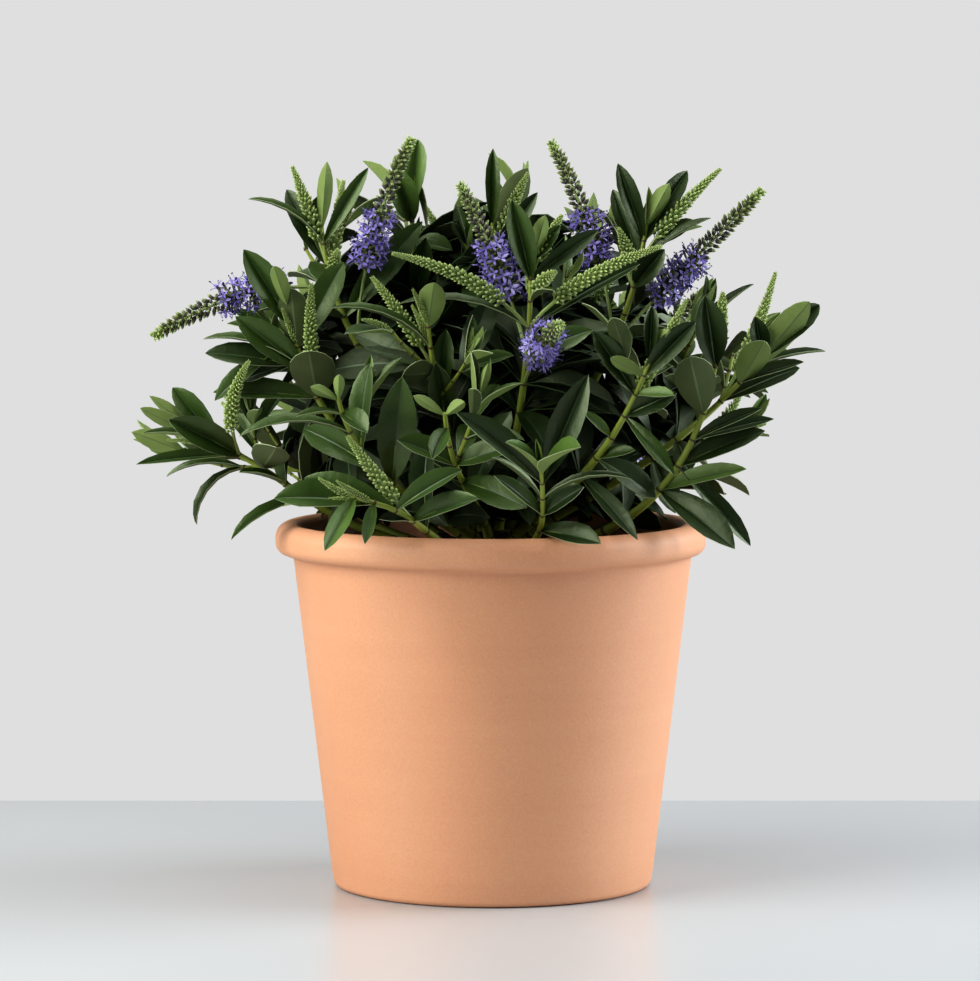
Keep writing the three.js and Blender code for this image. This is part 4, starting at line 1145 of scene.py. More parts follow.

# %% [markdown]
# The rule lets the leaves fall where they like, but a plant is known by the leaves in front. Those are
# listed, branch by branch: the pair that each grows from, the place of its tip, its depth, kind,
# width and age. The pair is a rank on the main stem, or the number of a side shoot with a rank on it.
# The tip is given as the camera sees it, across and down the picture in pixels, with its depth y in
# millimetres, so that it can move nearer or farther along the line of sight to find room. The kind of
# a leaf says which way its upper side faces and how it bends. Its age decides the tone, as rank does
# for the other leaves.

# %% Leaves laid one by one
PICTURE = {"width": 980, "height": 981, "sensor": 36}
KINDS = {"front": {"faces": (0, -1, 0.3), "bend": 16}, "back": {"faces": (0, 1, 0.35), "bend": -12},
         "up": {"faces": (0, -0.45, 1), "bend": 24}, "slant": {"faces": (0, -1, 0.8), "bend": 16},
         "arch": {"faces": (0, -0.45, 1), "bend": 60}, "droop": {"faces": (0, -0.3, 1), "bend": 100},
         "spear": {"faces": (0, 1, 0.2), "bend": -10}}
LAID_FULLNESS = {"wider": 1.36, "least": 0.54, "spread": 0.18, "seen_from_behind": 0.46}
LAID_LEAVES = {
    "far_left": (
        (2, (169, 420), -60, "front", 18, 3), (1, (173, 388), -30, "front", 15, 3),
        (0, (150, 396), -36, "spear", 8, 0), (0, (141, 408), -44, "back", 8, 1),
        (1, (144, 433), -50, "up", 7, 1), (2, (137, 464), -50, "slant", 8, 1),
        ((1, 4), (167, 476), -30, "arch", 6, 4), ((1, 4), (197, 524), -36, "droop", 7, 4),
        (4, (240, 472), -50, "up", 8, 4), (5, (232, 539), -48, "arch", 9, 4),
        (3, (276, 447), -72, "back", 18, 4),),
    "left_mid": (
        ((1, 4), (206, 353), -60, "slant", 13, 3), ((1, 4), (243, 380), -50, "slant", 12, 4),
        ((1, 3), (215, 400), -54, "slant", 10, 4), (1, (244, 250), -66, "front", 17, 3),
        (2, (291, 289), -84, "back", 15, 3), (0, (274, 266), -94, "spear", 10, 0),
        (3, (236, 317), -62, "front", 16, 4), (2, (343, 263), -66, "front", 14, 2),
        (4, (309, 351), -88, "back", 21, 4), (3, (204, 339), -58, "arch", 8, 4),
        (4, (214, 392), -62, "slant", 14, 4),),
    "left_low": (
        (0, (339, 375), -116, "spear", 7, 0), (0, (311, 387), -118, "spear", 7, 0),
        (1, (297, 416), -120, "up", 6, 1), (1, (367, 432), -128, "slant", 13, 2),
        (2, (240, 436), -112, "arch", 9, 3), (5, (402, 378), -100, "front", 19, 2),),
    "left_front": (
        (3, (461, 470), -136, "slant", 13, 3), (2, (275, 498), -138, "slant", 17, 2),
        (3, (305, 478), -118, "slant", 14, 3), (1, (325, 550), -181, "front", 10, 1),
        (2, (365, 543), -166, "front", 6.5, 2), (4, (380, 519), -128, "slant", 7, 3),),
    "left_top": (
        (1, (249, 199), -16, "arch", 6, 3), (2, (287, 190), 0, "front", 13, 4),
        (0, (327, 162), -14, "spear", 10, 0), (1, (368, 168), -14, "front", 8, 3),
        (2, (328, 288), -48, "slant", 20, 3), (4, (422, 222), 4, "front", 15, 4),),
    "upper_left": (
        (2, (332, 308), -84, "arch", 8, 3), (1, (434, 283), -80, "back", 13, 1),
        (3, (403, 374), -88, "back", 13, 4), (5, (436, 363), -62, "front", 15, 4),
        (4, (446, 330), -60, "front", 12, 3),),
    "top_left": (
        (0, (418, 140), 24, "front", 15, 1), (1, (394, 168), 6, "front", 17, 1),
        (2, (452, 250), 10, "slant", 12, 4), (4, (426, 238), 2, "front", 13, 3),),
    "centre_low": (
        (0, (414, 396), -122, "spear", 7, 0), (0, (464, 402), -122, "spear", 8, 0),
        (1, (433, 458), -132, "slant", 11, 2), (3, (398, 440), -110, "slant", 13, 4),
        (3, (512, 447), -110, "slant", 13, 4),),
    "centre_front": (
        (0, (580, 447), -182, "slant", 16, 0), (0, (506, 442), -172, "slant", 9, 0),
        (1, (588, 375), -146, "front", 19, 3), (1, (457, 413), -146, "slant", 16, 3),
        (2, (631, 479), -132, "arch", 6, 2), (2, (493, 457), -140, "up", 6, 2),
        (3, (495, 476), -132, "slant", 9, 2), (3, (583, 487), -124, "slant", 12, 4),
        (4, (600, 543), -124, "slant", 13, 3),),
    "top_centre": (
        (0, (493, 149), 8, "front", 9, 2), (2, (537, 193), 0, "front", 10, 3),
        (1, (527, 169), 22, "back", 14, 3),),
    "centre": (
        (1, (512, 200), -78, "front", 16, 3), (0, (545, 216), -76, "spear", 10, 1),
        (0, (560, 225), -66, "front", 8, 2), (1, (598, 230), -60, "front", 10, 3),
        (2, (553, 290), -92, "up", 6, 2), (3, (639, 264), -68, "slant", 13, 3),
        (3, (397, 305), -66, "arch", 7, 4), (4, (592, 330), -84, "front", 12, 2),),
    "top_right": (
        (1, (618, 164), -24, "front", 11, 3), (0, (669, 184), -28, "spear", 11, 0),
        (1, (687, 171), -8, "front", 13, 3), (2, (613, 190), -10, "front", 11, 4),
        (2, (710, 218), -26, "up", 8, 3), (3, (664, 250), -30, "front", 14, 4),),
    "right_top": (
        (1, (753, 284), 20, "up", 9, 4),),
    "right_outer": (
        (0, (819, 305), -40, "front", 17, 3), (1, (809, 302), -56, "back", 14, 1),
        (1, (825, 351), -30, "up", 6, 3), (2, (803, 362), -56, "slant", 8, 2),
        (3, (799, 368), -30, "slant", 15, 4), (2, (764, 341), -66, "back", 14, 1),
        (0, (755, 317), -52, "front", 11, 2), (6, (675, 512), -40, "slant", 13, 4),
        (5, (690, 470), -40, "front", 12, 4),),
    "right_front": (
        (1, (705, 296), -86, "front", 18, 3), (3, (690, 357), -100, "back", 19, 3),
        (4, (760, 409), -74, "slant", 8, 2), (4, (773, 419), -60, "slant", 8, 4),
        (5, (764, 431), -66, "slant", 13, 4), (6, (745, 469), -80, "slant", 11, 1),
        (6, (734, 548), -90, "slant", 17, 4), (5, (750, 545), -66, "slant", 10, 2),),
    "mid_right": (
        (0, (669, 330), -108, "spear", 12, 0), (1, (695, 322), -104, "front", 14, 2),
        (0, (652, 306), -100, "front", 11, 3), (1, (611, 358), -106, "back", 7, 1),
        (2, (594, 332), -98, "front", 14, 4), (2, (674, 395), -110, "slant", 7, 1),
        (3, (676, 393), -98, "front", 13, 4), (3, (674, 474), -104, "slant", 8, 1),
        (4, (585, 413), -92, "slant", 6, 1), (5, (634, 450), -84, "slant", 7, 2),
        (5, (655, 497), -62, "slant", 14, 4), (6, (612, 452), -60, "front", 11, 4),
        (6, (637, 539), -110, "slant", 10, 3),),
}
print("leaves to lay by hand:", sum(len(rows) for rows in LAID_LEAVES.values()))

# %% [markdown]
# Such a leaf is drawn from its root on the stem to the point that the camera sees at the wanted place.
# Its fullness is the exponent of its outline: the lower it is, the rounder the leaf.

# %% Laying them
def camera_axes():
    """Where the camera stands in millimetres, and the ways forward and up in its picture."""
    tilt = math.atan2(CAMERA["height"] - CAMERA["aim_height"], CAMERA["distance"])
    eye = np.array((CAMERA["aside"], -CAMERA["distance"], CAMERA["height"])) / MM
    forward = np.array((0, math.cos(tilt), -math.sin(tilt)))
    return eye, forward, np.array((0, math.sin(tilt), math.cos(tilt)))


EYE, FORWARD, UPWARD = camera_axes()
FOCAL = CAMERA["lens"] / PICTURE["sensor"] * PICTURE["height"]


def seen_at(across, down, depth):
    """The point at a depth y that the camera sees at a place of its picture."""
    ray = FORWARD + UPWARD * (PICTURE["height"] / 2 - down) / FOCAL
    ray = ray + np.array((1, 0, 0)) * (across - PICTURE["width"] / 2) / FOCAL
    return EYE + ray * (depth - EYE[1]) / ray[1]


def in_picture(points):
    """The places of the picture where the camera sees points."""
    gap = points - EYE
    scale = FOCAL / (gap @ FORWARD)
    return PICTURE["width"] / 2 + gap[:, 0] * scale, PICTURE["height"] / 2 - (gap @ UPWARD) * scale


def laid_leaf(leaf, nearer):
    """The leaf with its tip where it is wanted, so much nearer to the camera."""
    place, depth, kind, width, age = leaf["laid"]
    reach = seen_at(*place, depth - nearer) - leaf["root"]
    out, bend = unit(reach), KINDS[kind]["bend"]
    length = np.linalg.norm(reach) * math.radians(bend / 2) / math.sin(math.radians(bend / 2))
    fold = FOLD["young"] if kind == "spear" else leaf["fold"]
    width *= LAID_FULLNESS["wider"]
    fullness = LAID_FULLNESS["least"] + LAID_FULLNESS["spread"] * leaf["draw"]
    if kind == "back":
        fullness, fold = LAID_FULLNESS["seen_from_behind"], 0.5 * fold
    return {**leaf, "out": out, "along": square_to(np.array(KINDS[kind]["faces"], float), out),
            "pitch": 90 - bend / 2, "bend": bend, "length": length, "twist": 0, "sag": 0,
            "fold": fold, "broad": width / (length * LEAF["width_share"]), "age": age,
            "fullness": fullness}


def lay_leaf(mass, pair, *row):
    """Marks the leaf of a pair that points most nearly the wanted way, unless it is laid already."""
    stem, rank = pair if isinstance(pair, tuple) else (0, pair)
    leaves = [leaf for leaf in mass["leaves"]
              if (leaf["stem"], leaf["rank"]) == (stem, rank) and not leaf["inner"]]
    wanted = unit(seen_at(*row[0], row[1]) - leaves[0]["root"])
    leaf = max(leaves, key=lambda leaf: (leaf["laid"] is None, leaf["out"] @ wanted))
    leaf["laid"] = row


for mass in MASSES:
    for leaf in mass["leaves"]:
        leaf["laid"], leaf["age"] = None, leaf["rank"]
        leaf.setdefault("inner", False)
        leaf.setdefault("fine", True)
    for row in LAID_LEAVES.get(mass["name"], ()):
        lay_leaf(mass, *row)
print("the middle of the picture is at", seen_at(490, 490.5, 0).round(1))

# %% [markdown]
# ## Tubes for stems
#
# Stems, boughs and the stalks of racemes are all tubes: a drum made once, cut into rings, and placed
# along a curve with its radius drawn from root to tip.

# %% Tubes
def drum_blank(sides, rings):
    """A closed drum of radius 1 about +Z, from 0 to 1, cut into rings."""
    bm = bmesh.new()
    bmesh.ops.create_cone(bm, cap_ends=True, segments=sides, radius1=1, radius2=1, depth=1)
    bmesh.ops.translate(bm, verts=bm.verts, vec=(0, 0, 0.5))
    upright = [e for e in bm.edges if abs(e.verts[0].co.z - e.verts[1].co.z) > 0.5]
    bmesh.ops.subdivide_edges(bm, edges=upright, cuts=rings - 1)
    return bm


def along_line(points, line, across, share, radius):
    """Drum points placed on a curve: a share of its length and a radius for each point."""
    direction = line.along(share)
    side = square_to(np.broadcast_to(across, direction.shape), direction)
    front = np.cross(side, direction)
    aside = side * (points[:, 0] * radius)[:, None] - front * (points[:, 1] * radius)[:, None]
    return line.at(share) + aside


def tube_points(blank, line, across, first, last, root_radius, tip_radius):
    """A tapering tube along part of a curve."""
    up = blank.points[:, 2]
    share = first + (last - first) * up
    return along_line(blank.points, line, across, share, root_radius + (tip_radius - root_radius) * up)


STEM_BLANK = Blank(drum_blank(8, 14))
TWIG_BLANK = Blank(drum_blank(6, 7))
STEM_TRIAL = Blank(drum_blank(4, 6))
print("a stem has", len(STEM_BLANK.sizes), "faces")

# %% [markdown]
# ## Racemes
#
# A raceme is a thin stalk with flowers all round it, which open from the bottom up. Its buds sit on a
# spiral, each turned by the golden angle from the last, so that none stands behind another. Where a
# raceme is in bloom a wide soft sleeve of flowers stands out, and above it the buds run from plum
# through olive to green, smaller and smaller towards the tip.

# %% Shape of a raceme
SPIKE = {"stalk_radius": 1.2, "bud_radius": 5.5, "bloom_radius": 13.5, "bud_start": 0.22}
YOUNG_SPIKE = {"stalk_radius": 0.7, "bud_radius": 2.3, "bloom_radius": 0, "bud_start": 0.08}
GOLDEN_ANGLE = math.pi * (3 - math.sqrt(5))


def spike_line(spike):
    """The curve of a raceme, which leaves its stem steeply and bends to its tip."""
    root, tip = spike["root"], spike["tip"]
    reach = np.linalg.norm(tip - root)
    start = unit(unit(tip - root) + spike["along"] * spike["rise"])
    return Line(root, root + start * 0.45 * reach, tip)


def spike_across(line):
    """A direction well away from the raceme's own."""
    return np.array((1.0, 0, 0)) if abs(line.along(0.0)[2]) > 0.9 else UP


def spike_trial(spike, sizes):
    """The space that a raceme needs, as a spindle on its stalk."""
    line = spike_line(spike)
    shares = STEM_TRIAL.points[:, 2]
    bloom = spike["bloom"] or (0, 0)
    full = np.interp(shares, (0, 0.2, 0.35, 0.8, 1), (0.2, 0.3, 1, 0.6, 0.15)) * sizes["bud_radius"]
    flowers = (shares > bloom[0]) & (shares < bloom[1])
    radius = np.where(flowers, sizes["bloom_radius"] * 0.8, full)
    return along_line(STEM_TRIAL.points, line, spike_across(line), shares, radius)


# %% [markdown]
# ## Fitting everything together
#
# Leaves of different shoots want the same air. Real ones push each other aside, and the rule imitates
# that: stems stand first, then racemes, then the listed leaves, and last the others from the tips
# down. A crowd knows all that is in place. A tree of triangles finds whether two shapes meet, and boxes
# sort out the many that can't.

# %% What is in place
OWN_ROOM = {"grown": 7, "laid": 26}


class Crowd:
    """The shapes already in place."""

    def __init__(self, most=6000):
        self.lows, self.highs = np.full((most, 3), 1e9), np.full((most, 3), -1e9)
        self.roots = np.full((most, 3), 1e9)
        self.masses = np.full(most, "", dtype=object)
        self.is_stem, self.is_soft = np.zeros(most, bool), np.zeros(most, bool)
        self.trees = []

    def add(self, points, tree, mass, root=(1e9, 1e9, 1e9), is_stem=False, is_soft=False):
        """Keeps a shape in its place."""
        number = len(self.trees)
        self.lows[number], self.highs[number] = points.min(0), points.max(0)
        self.roots[number], self.masses[number] = root, mass
        self.is_stem[number], self.is_soft[number] = is_stem, is_soft
        self.trees.append(tree)

    def has_room_for(self, points, tree, mass, root, own_room=OWN_ROOM["grown"], is_inner=False):
        """Whether a shape meets none of the others, apart from its own stem and its own axil.
        Leaves deep inside may touch each other."""
        close = np.all((self.lows <= points.max(0)) & (self.highs >= points.min(0)), axis=1)
        own = self.masses == mass
        together = own & (self.is_stem | (np.linalg.norm(self.roots - root, axis=1) < own_room))
        if is_inner:
            together = together | self.is_soft
        return not any(tree.overlap(self.trees[n]) for n in np.flatnonzero(close & ~together))


def tree_of(points, blank):
    """The tree of triangles of a copy of a blank."""
    return BVHTree.FromPolygons(points.tolist(), blank.polygons)


def frame_solid(name):
    """The points of one of the frame's solids, in millimetres, and its tree of triangles."""
    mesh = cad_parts[name].data
    points = np.array([vert.co for vert in mesh.vertices]) / MM
    return points, BVHTree.FromPolygons(points.tolist(), [list(p.vertices) for p in mesh.polygons])


crowd = Crowd()
for name in ("pot", "compost", "trunk"):
    crowd.add(*frame_solid(name), "")
for mass in MASSES:
    bough = tube_points(STEM_TRIAL, mass["line"], mass["across"], 0, mass["fork"],
                        BOUGH["root_radius"], BOUGH["tip_radius"])
    crowd.add(bough, tree_of(bough, STEM_TRIAL), mass["name"], is_stem=True)
    for stem in mass["stems"]:
        tube = tube_points(STEM_TRIAL, stem["line"], stem["across"], stem["first"], 1,
                           stem["root_radius"], stem["tip_radius"])
        crowd.add(tube, tree_of(tube, STEM_TRIAL), mass["name"], is_stem=True)
print("shapes in place:", len(crowd.trees))

# %% [markdown]
# Racemes and the listed leaves have to be seen, so no other leaf may hide them, and the openings
# between the branches stay open. An opening is a box of the picture in pixels: left, top, right and
# bottom.

# %% What stays in view
SHOWN = {"from": 0.25, "steps": 9, "near": 3, "aside": 6.5, "leaf_aside": 4.5}
OPEN_SKY = (
    (100, 330, 165, 394), (100, 468, 275, 600), (130, 230, 240, 300), (165, 360, 232, 384),
    (200, 150, 284, 262), (255, 205, 300, 260), (283, 531, 700, 640), (433, 100, 482, 190),
    (434, 190, 452, 222), (503, 100, 530, 160), (530, 100, 556, 196), (600, 100, 612, 200),
    (630, 100, 660, 185), (690, 100, 760, 214), (702, 408, 728, 430), (712, 436, 742, 462),
    (715, 496, 900, 600), (722, 214, 800, 280), (722, 288, 750, 330), (752, 440, 900, 600),
    (756, 200, 800, 312), (770, 396, 806, 430), (775, 378, 900, 600), (805, 366, 900, 600),
    (822, 200, 900, 345))


def place_spikes(spikes, sizes):
    """The racemes that have room."""
    placed = []
    for spike in spikes:
        points = spike_trial(spike, sizes)
        tree = tree_of(points, STEM_TRIAL)
        if crowd.has_room_for(points, tree, spike["mass"], spike["root"]):
            crowd.add(points, tree, spike["mass"], spike["root"])
            placed.append(spike)
    return placed


def shown_parts(spikes):
    """Points along the flowering part of each raceme, and the way from which it is seen."""
    points, ways = [], []
    for spike in spikes:
        middle = (spike["tip"] + spike["root"]) / 2
        way = square_to(middle, UP) if spike["mass"].startswith("back") else np.array((0.0, -1.0, 0.0))
        for share in np.linspace(SHOWN["from"], 1, SHOWN["steps"]):
            points.append(spike_line(spike).at(share))
            ways.append(way)
    return np.array(points), np.array(ways)


def hides(points, shown, ways, room):
    """Whether any of the points lies in front of one that is shown."""
    gap = points[:, None, :] - shown[None]
    ahead = np.sum(gap * ways[None], axis=2)
    aside = np.sum(gap**2, axis=2) - ahead**2
    return bool(np.any((ahead > SHOWN["near"]) & (aside < room**2)))


def in_open_sky(points):
    """Whether a shape would close one of the openings between the branches."""
    across, down = in_picture(points)
    return any(np.any((across > left) & (down > top) & (across < right) & (down < bottom))
               for left, top, right, bottom in OPEN_SKY)


wanted_spikes = [spike for mass in MASSES for spike in mass["spikes"]
                 if not (mass["name"].startswith("back") and in_open_sky(spike["tip"][None]))]
SPIKES = place_spikes(wanted_spikes, SPIKE)
print("racemes:", len(SPIKES))

# %% [markdown]
# A listed leaf moves along the line of sight until it has room. Any other that would meet, hide
# or close something turns a little or grows a little smaller, and after four tries it is left out.
# Leaves deep inside may touch each other.

# %% Placing the leaves
LEAF_TRIES = ((0, 1), (-14, 1), (12, 0.94), (-4, 0.78))
FINE_REACH = 4
LAID_NEARER = (0, 7, -7, 14, -14, 22, -22, 30, -30, 40)
INNER = {"middle": np.array((0, 12, 275)), "radii": np.array((150, 112, 130)), "share": 0.86}
# From this age on a leaf wears the darkest tones, which are painted shade; leaves deep inside are given it.
PAINTED_SHADE_AGE = 6
SOLID_BOXES = {mass["name"]: [np.array(corner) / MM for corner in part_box(f"foliage_{mass['name']}")]
               for mass in MASSES}


def place_laid_leaves(leaves):
    """The listed leaves, moved along the line of sight until they have room."""
    placed = []
    for leaf in leaves:
        for nearer in LAID_NEARER:
            tried = laid_leaf(leaf, nearer)
            points = leaf_points(tried, LEAF_TRIAL)
            tree = tree_of(points, LEAF_TRIAL)
            if crowd.has_room_for(points, tree, leaf["mass"], leaf["root"], OWN_ROOM["laid"]):
                crowd.add(points, tree, leaf["mass"], leaf["root"])
                placed.append(tried)
                break
        else:
            print("no room for", leaf["mass"], leaf["rank"], leaf["laid"][0])
    return placed


def is_deep(points):
    """Whether a leaf lies wholly in the inside of the crown, where other leaves hide it."""
    shares = np.linalg.norm((points - INNER["middle"]) / INNER["radii"], axis=1)
    return bool(shares.max() < INNER["share"])


def place_leaves(leaves, reach=1e9):
    """The leaves that have room within a reach of their solid, turned or made smaller if need be."""
    placed = []
    shown, ways = shown_parts(SPIKES)
    keep = LEAF_TRIAL.points[:, 2] == 0
    laid = np.concatenate([leaf_points(leaf, LEAF_TRIAL)[keep] for leaf in LAID])
    laid_ways = np.broadcast_to(np.array((0.0, -1.0, 0.0)), laid.shape)
    for leaf in leaves:
        for turn, size in LEAF_TRIES:
            tried = {**leaf, "pitch": leaf["pitch"] + turn, "length": leaf["length"] * size}
            points = leaf_points(tried, LEAF_TRIAL)
            if points[:, 2].min() < POT["height"] - LEAF["lowest"] or in_open_sky(points):
                continue
            if (hides(points, shown, ways, SHOWN["aside"])
                    or hides(points, laid, laid_ways, SHOWN["leaf_aside"])):
                continue
            low, high = SOLID_BOXES[leaf["mass"]]
            outside = np.any(points.min(0) < low - reach) or np.any(points.max(0) > high + reach)
            is_old = leaf["rank"] >= OLD_LEAVES["rank"]
            if outside and not is_old:
                continue
            is_inner = is_old or is_deep(points)
            if leaf["inner"] and not is_inner:
                continue
            tree = tree_of(points, LEAF_TRIAL)
            if crowd.has_room_for(points, tree, leaf["mass"], leaf["root"], is_inner=is_inner):
                crowd.add(points, tree, leaf["mass"], leaf["root"], is_soft=True)
                # Leaves deep inside are given the age that dresses them in painted shade.
                placed.append({**tried, "age": max(tried["age"], PAINTED_SHADE_AGE)} if is_inner else tried)
                break
    return placed


def by_rank(leaves):
    """Leaves from the tips down."""
    return sorted(leaves, key=lambda leaf: leaf["rank"])


LAID = place_laid_leaves([leaf for mass in MASSES for leaf in mass["leaves"] if leaf["laid"]])
free_leaves = [leaf for mass in MASSES for leaf in mass["leaves"] if not leaf["laid"]]
inner_leaves = [leaf for leaf in free_leaves if leaf["inner"]]
main_leaves = [leaf for leaf in free_leaves if not leaf["fine"] and not leaf["inner"]]
fine_leaves = [leaf for leaf in free_leaves if leaf["fine"] and not leaf["inner"]]
print("laid by hand:", len(LAID))
LEAVES = LAID + place_leaves(by_rank(main_leaves)) + place_leaves(by_rank(fine_leaves), FINE_REACH)
LEAVES += place_leaves(inner_leaves)
print("leaves:", len(LEAVES))

# %% [markdown]
# At the end a side shoot with hardly a leaf is left out, and each stem is cut just above the last thing
# that it bears.

# %% Stems that stay
SHOOT_LEAVES = 3  # a side shoot with fewer is left out
borne = Counter((leaf["mass"], leaf["stem"]) for leaf in LEAVES)
KEPT_STEMS = {key for key, count in borne.items() if key[1] == 0 or count >= SHOOT_LEAVES}
LEAVES = [leaf for leaf in LEAVES if (leaf["mass"], leaf["stem"]) in KEPT_STEMS]
young_spikes = [spike for mass in MASSES for spike in mass["young_spikes"]
                if (spike["mass"], spike["stem"]) in KEPT_STEMS
                and not in_open_sky(spike["tip"][None])]
YOUNG = place_spikes(young_spikes, YOUNG_SPIKE)
STEM_ENDS = {}
for borne_thing in LEAVES + SPIKES + YOUNG:
    key = (borne_thing["mass"], borne_thing["stem"])
    STEM_ENDS[key] = max(STEM_ENDS.get(key, 0), borne_thing["share"])
print("placed:", len(SPIKES), "racemes,", len(LEAVES), "leaves,", len(YOUNG), "young racemes")

# %% [markdown]
# ## Joined meshes
#
# Thousands of small objects would make a scene slow to handle, so copies are joined. A heap collects
# the placed copies of blanks, with the skin of each face, and becomes one mesh at the end. Leaves,
# stems, buds and flowers are heaps of their own, one for each side of the plant.

# %% Joined meshes
class Heap:
    """Placed copies of blanks, which become one mesh."""

    def __init__(self, *skins):
        self.skins = skins
        self.parts = {"points": [], "loops": [], "sizes": [], "slots": []}
        self.count = 0

    def add(self, points, blank, skins, slots=None):
        """A copy of a blank. Each slot number of its faces has a skin."""
        table = np.array([self.skins.index(name) for name in skins])
        self.parts["points"].append(points)
        self.parts["loops"].append(blank.loops + self.count)
        self.parts["sizes"].append(blank.sizes)
        self.parts["slots"].append(table[blank.slots if slots is None else slots])
        self.count += len(points)

    def mesh(self, name):
        """The mesh of everything in the heap."""
        points, loops, sizes, slots = (np.concatenate(part) for part in self.parts.values())
        mesh = bpy.data.meshes.new(name)
        mesh.vertices.add(len(points))
        mesh.vertices.foreach_set("co", (points * MM).astype(np.float32).ravel())
        mesh.loops.add(len(loops))
        mesh.loops.foreach_set("vertex_index", loops.astype(np.int32))
        mesh.polygons.add(len(sizes))
        starts = np.concatenate(([0], np.cumsum(sizes)[:-1]))
        mesh.polygons.foreach_set("loop_start", starts.astype(np.int32))
        for skin_name in self.skins:
            mesh.materials.append(SKINS[skin_name])
        mesh.polygons.foreach_set("material_index", slots.astype(np.int32))
        mesh.update(calc_edges=True)
        print(f"{name}: {int((sizes - 2).sum())} triangles")
        return mesh


SIDES = {
    "right": ("right_front", "right_outer", "mid_right", "right_top", "top_right"),
    "front": ("centre_front", "centre_low", "left_front", "left_low", "upper_left", "centre"),
    "left": ("far_left", "left_mid", "left_top", "top_left", "top_centre"),
}
SIDES["back"] = tuple(mass["name"] for mass in MASSES if mass["name"].startswith("back"))
SIDE_OF = {name: side for side, names in SIDES.items() for name in names}


def heap_by_side(*skins):
    """An empty heap for each side of the plant."""
    return {side: Heap(*skins) for side in SIDES}


def finish_heaps(kind, heaps, smooth_angle):
    """Makes each side's heap a piece that stands for that side's masses of foliage."""
    for side, heap in heaps.items():
        name = f"{kind}_{side}"
        finished(name, heap.mesh(name), [f"foliage_{m}" for m in SIDES[side]], smooth_angle)


print({side: len(names) for side, names in SIDES.items()})

# %% [markdown]
# ## Leaves
#
# Tones are dealt out by spray: each shoot has its own mood, which decides whether its full-grown
# leaves are more of the deep green, the bluish or the fresher kind. The youngest leaves are always
# yellow-green, and those deep inside are darker than all others: painted shade for the inside of the crown.

# %% Leaves
SHARES = {"tender": 0.25, "young": 0.35, "deep": 0.6, "mood": 0.6}
FRESHER = 0.25
BLUE_FROM, LEAF_GREEN_FROM = 0.5, 0.62


def mood_of(leaf):
    """The mood of a leaf's shoot, from 0 for dark to 1 for fresh."""
    return seeded(leaf["stem"] * 97 + len(leaf["mass"]) * 31)()


def tone_of(leaf):
    """The skin of a leaf's blade."""
    if leaf["age"] < 0:
        return "leaf_tender"
    if leaf["age"] == 0:
        return "leaf_tender" if leaf["draw"] < SHARES["tender"] else "leaf_young"
    if leaf["age"] == 1:
        return "leaf_young" if leaf["draw"] < SHARES["young"] else "leaf_green"
    # Leaves deep inside wear the darkest tones as painted shade.
    if leaf["age"] >= PAINTED_SHADE_AGE:
        return "leaf_painted_shade" if leaf["draw"] < SHARES["deep"] else "leaf_dark"
    wanted = SHARES["mood"] * mood_of(leaf) + (1 - SHARES["mood"]) * leaf["draw"]
    if leaf["age"] == 2:
        wanted += FRESHER
    if wanted < BLUE_FROM:
        return "leaf_dark"
    return "leaf_blue" if wanted < LEAF_GREEN_FROM else "leaf_green"


def leaf_skins(leaf):
    """The skins of a leaf's blade, rib, edge, underside, the rib beneath and the foot of the rib."""
    # Leaves deep inside wear painted shade: the darkest blade and underside, and no pale edge.
    if leaf["age"] >= PAINTED_SHADE_AGE:
        return tone_of(leaf), "midrib", "midrib", "under_painted_shade", "under_dark", "midrib"
    rib = "leaf_young" if leaf["age"] <= 0 else "midrib"
    under = "under_young" if leaf["age"] <= 1 else "under_dark"
    return tone_of(leaf), rib, "leaf_edge", under, "midrib_pale", "rib_foot"


heaps = heap_by_side("leaf_painted_shade", "leaf_dark", "leaf_blue", "leaf_green", "leaf_young", "leaf_tender",
                     "midrib", "midrib_pale", "rib_foot", "leaf_edge", "under_painted_shade", "under_dark",
                     "under_young")
for leaf in LEAVES:
    blank = INNER_BLANK if leaf["age"] >= PAINTED_SHADE_AGE else LEAF_BLANK
    heaps[SIDE_OF[leaf["mass"]]].add(leaf_points(leaf, blank), blank, leaf_skins(leaf))
finish_heaps("leaves", heaps, 35)

# %% [markdown]
# ## Boughs
#
# The boughs run from the trunk out over the rim. They are brown and rough in the pot and turn
# yellow-green in the light, with a dark ring wherever a leaf pair once sat. The bark's relief is drawn
# into the radius of the tube, stretched along it as on the trunk.

# %% Boughs
BOUGH_SIDES, BOUGH_RINGS = 16, 80
SCARS = {"first": 14, "apart": 18, "swell": 0.35, "reach": 1.1}
GREEN_FROM = 196  # the height where bark gives way to green wood
FOOT_SWELL = {"by": 0.35, "reach": 6}
WOODY = {"fades_over": 30, "least": 0.12}
BOUGH_GRAIN = (1.9, 1.9, 0.11)  # across the drum, whose radius is 1, and along it per millimetre
BOUGH_BLANK = Blank(drum_blank(BOUGH_SIDES, BOUGH_RINGS))


def scar_at(distance):
    """How much of a leaf scar there is at a distance along a bough, from 0 to 1."""
    off = (distance - SCARS["first"] + SCARS["apart"] / 2) % SCARS["apart"] - SCARS["apart"] / 2
    return np.exp(-((off / SCARS["reach"]) ** 2))


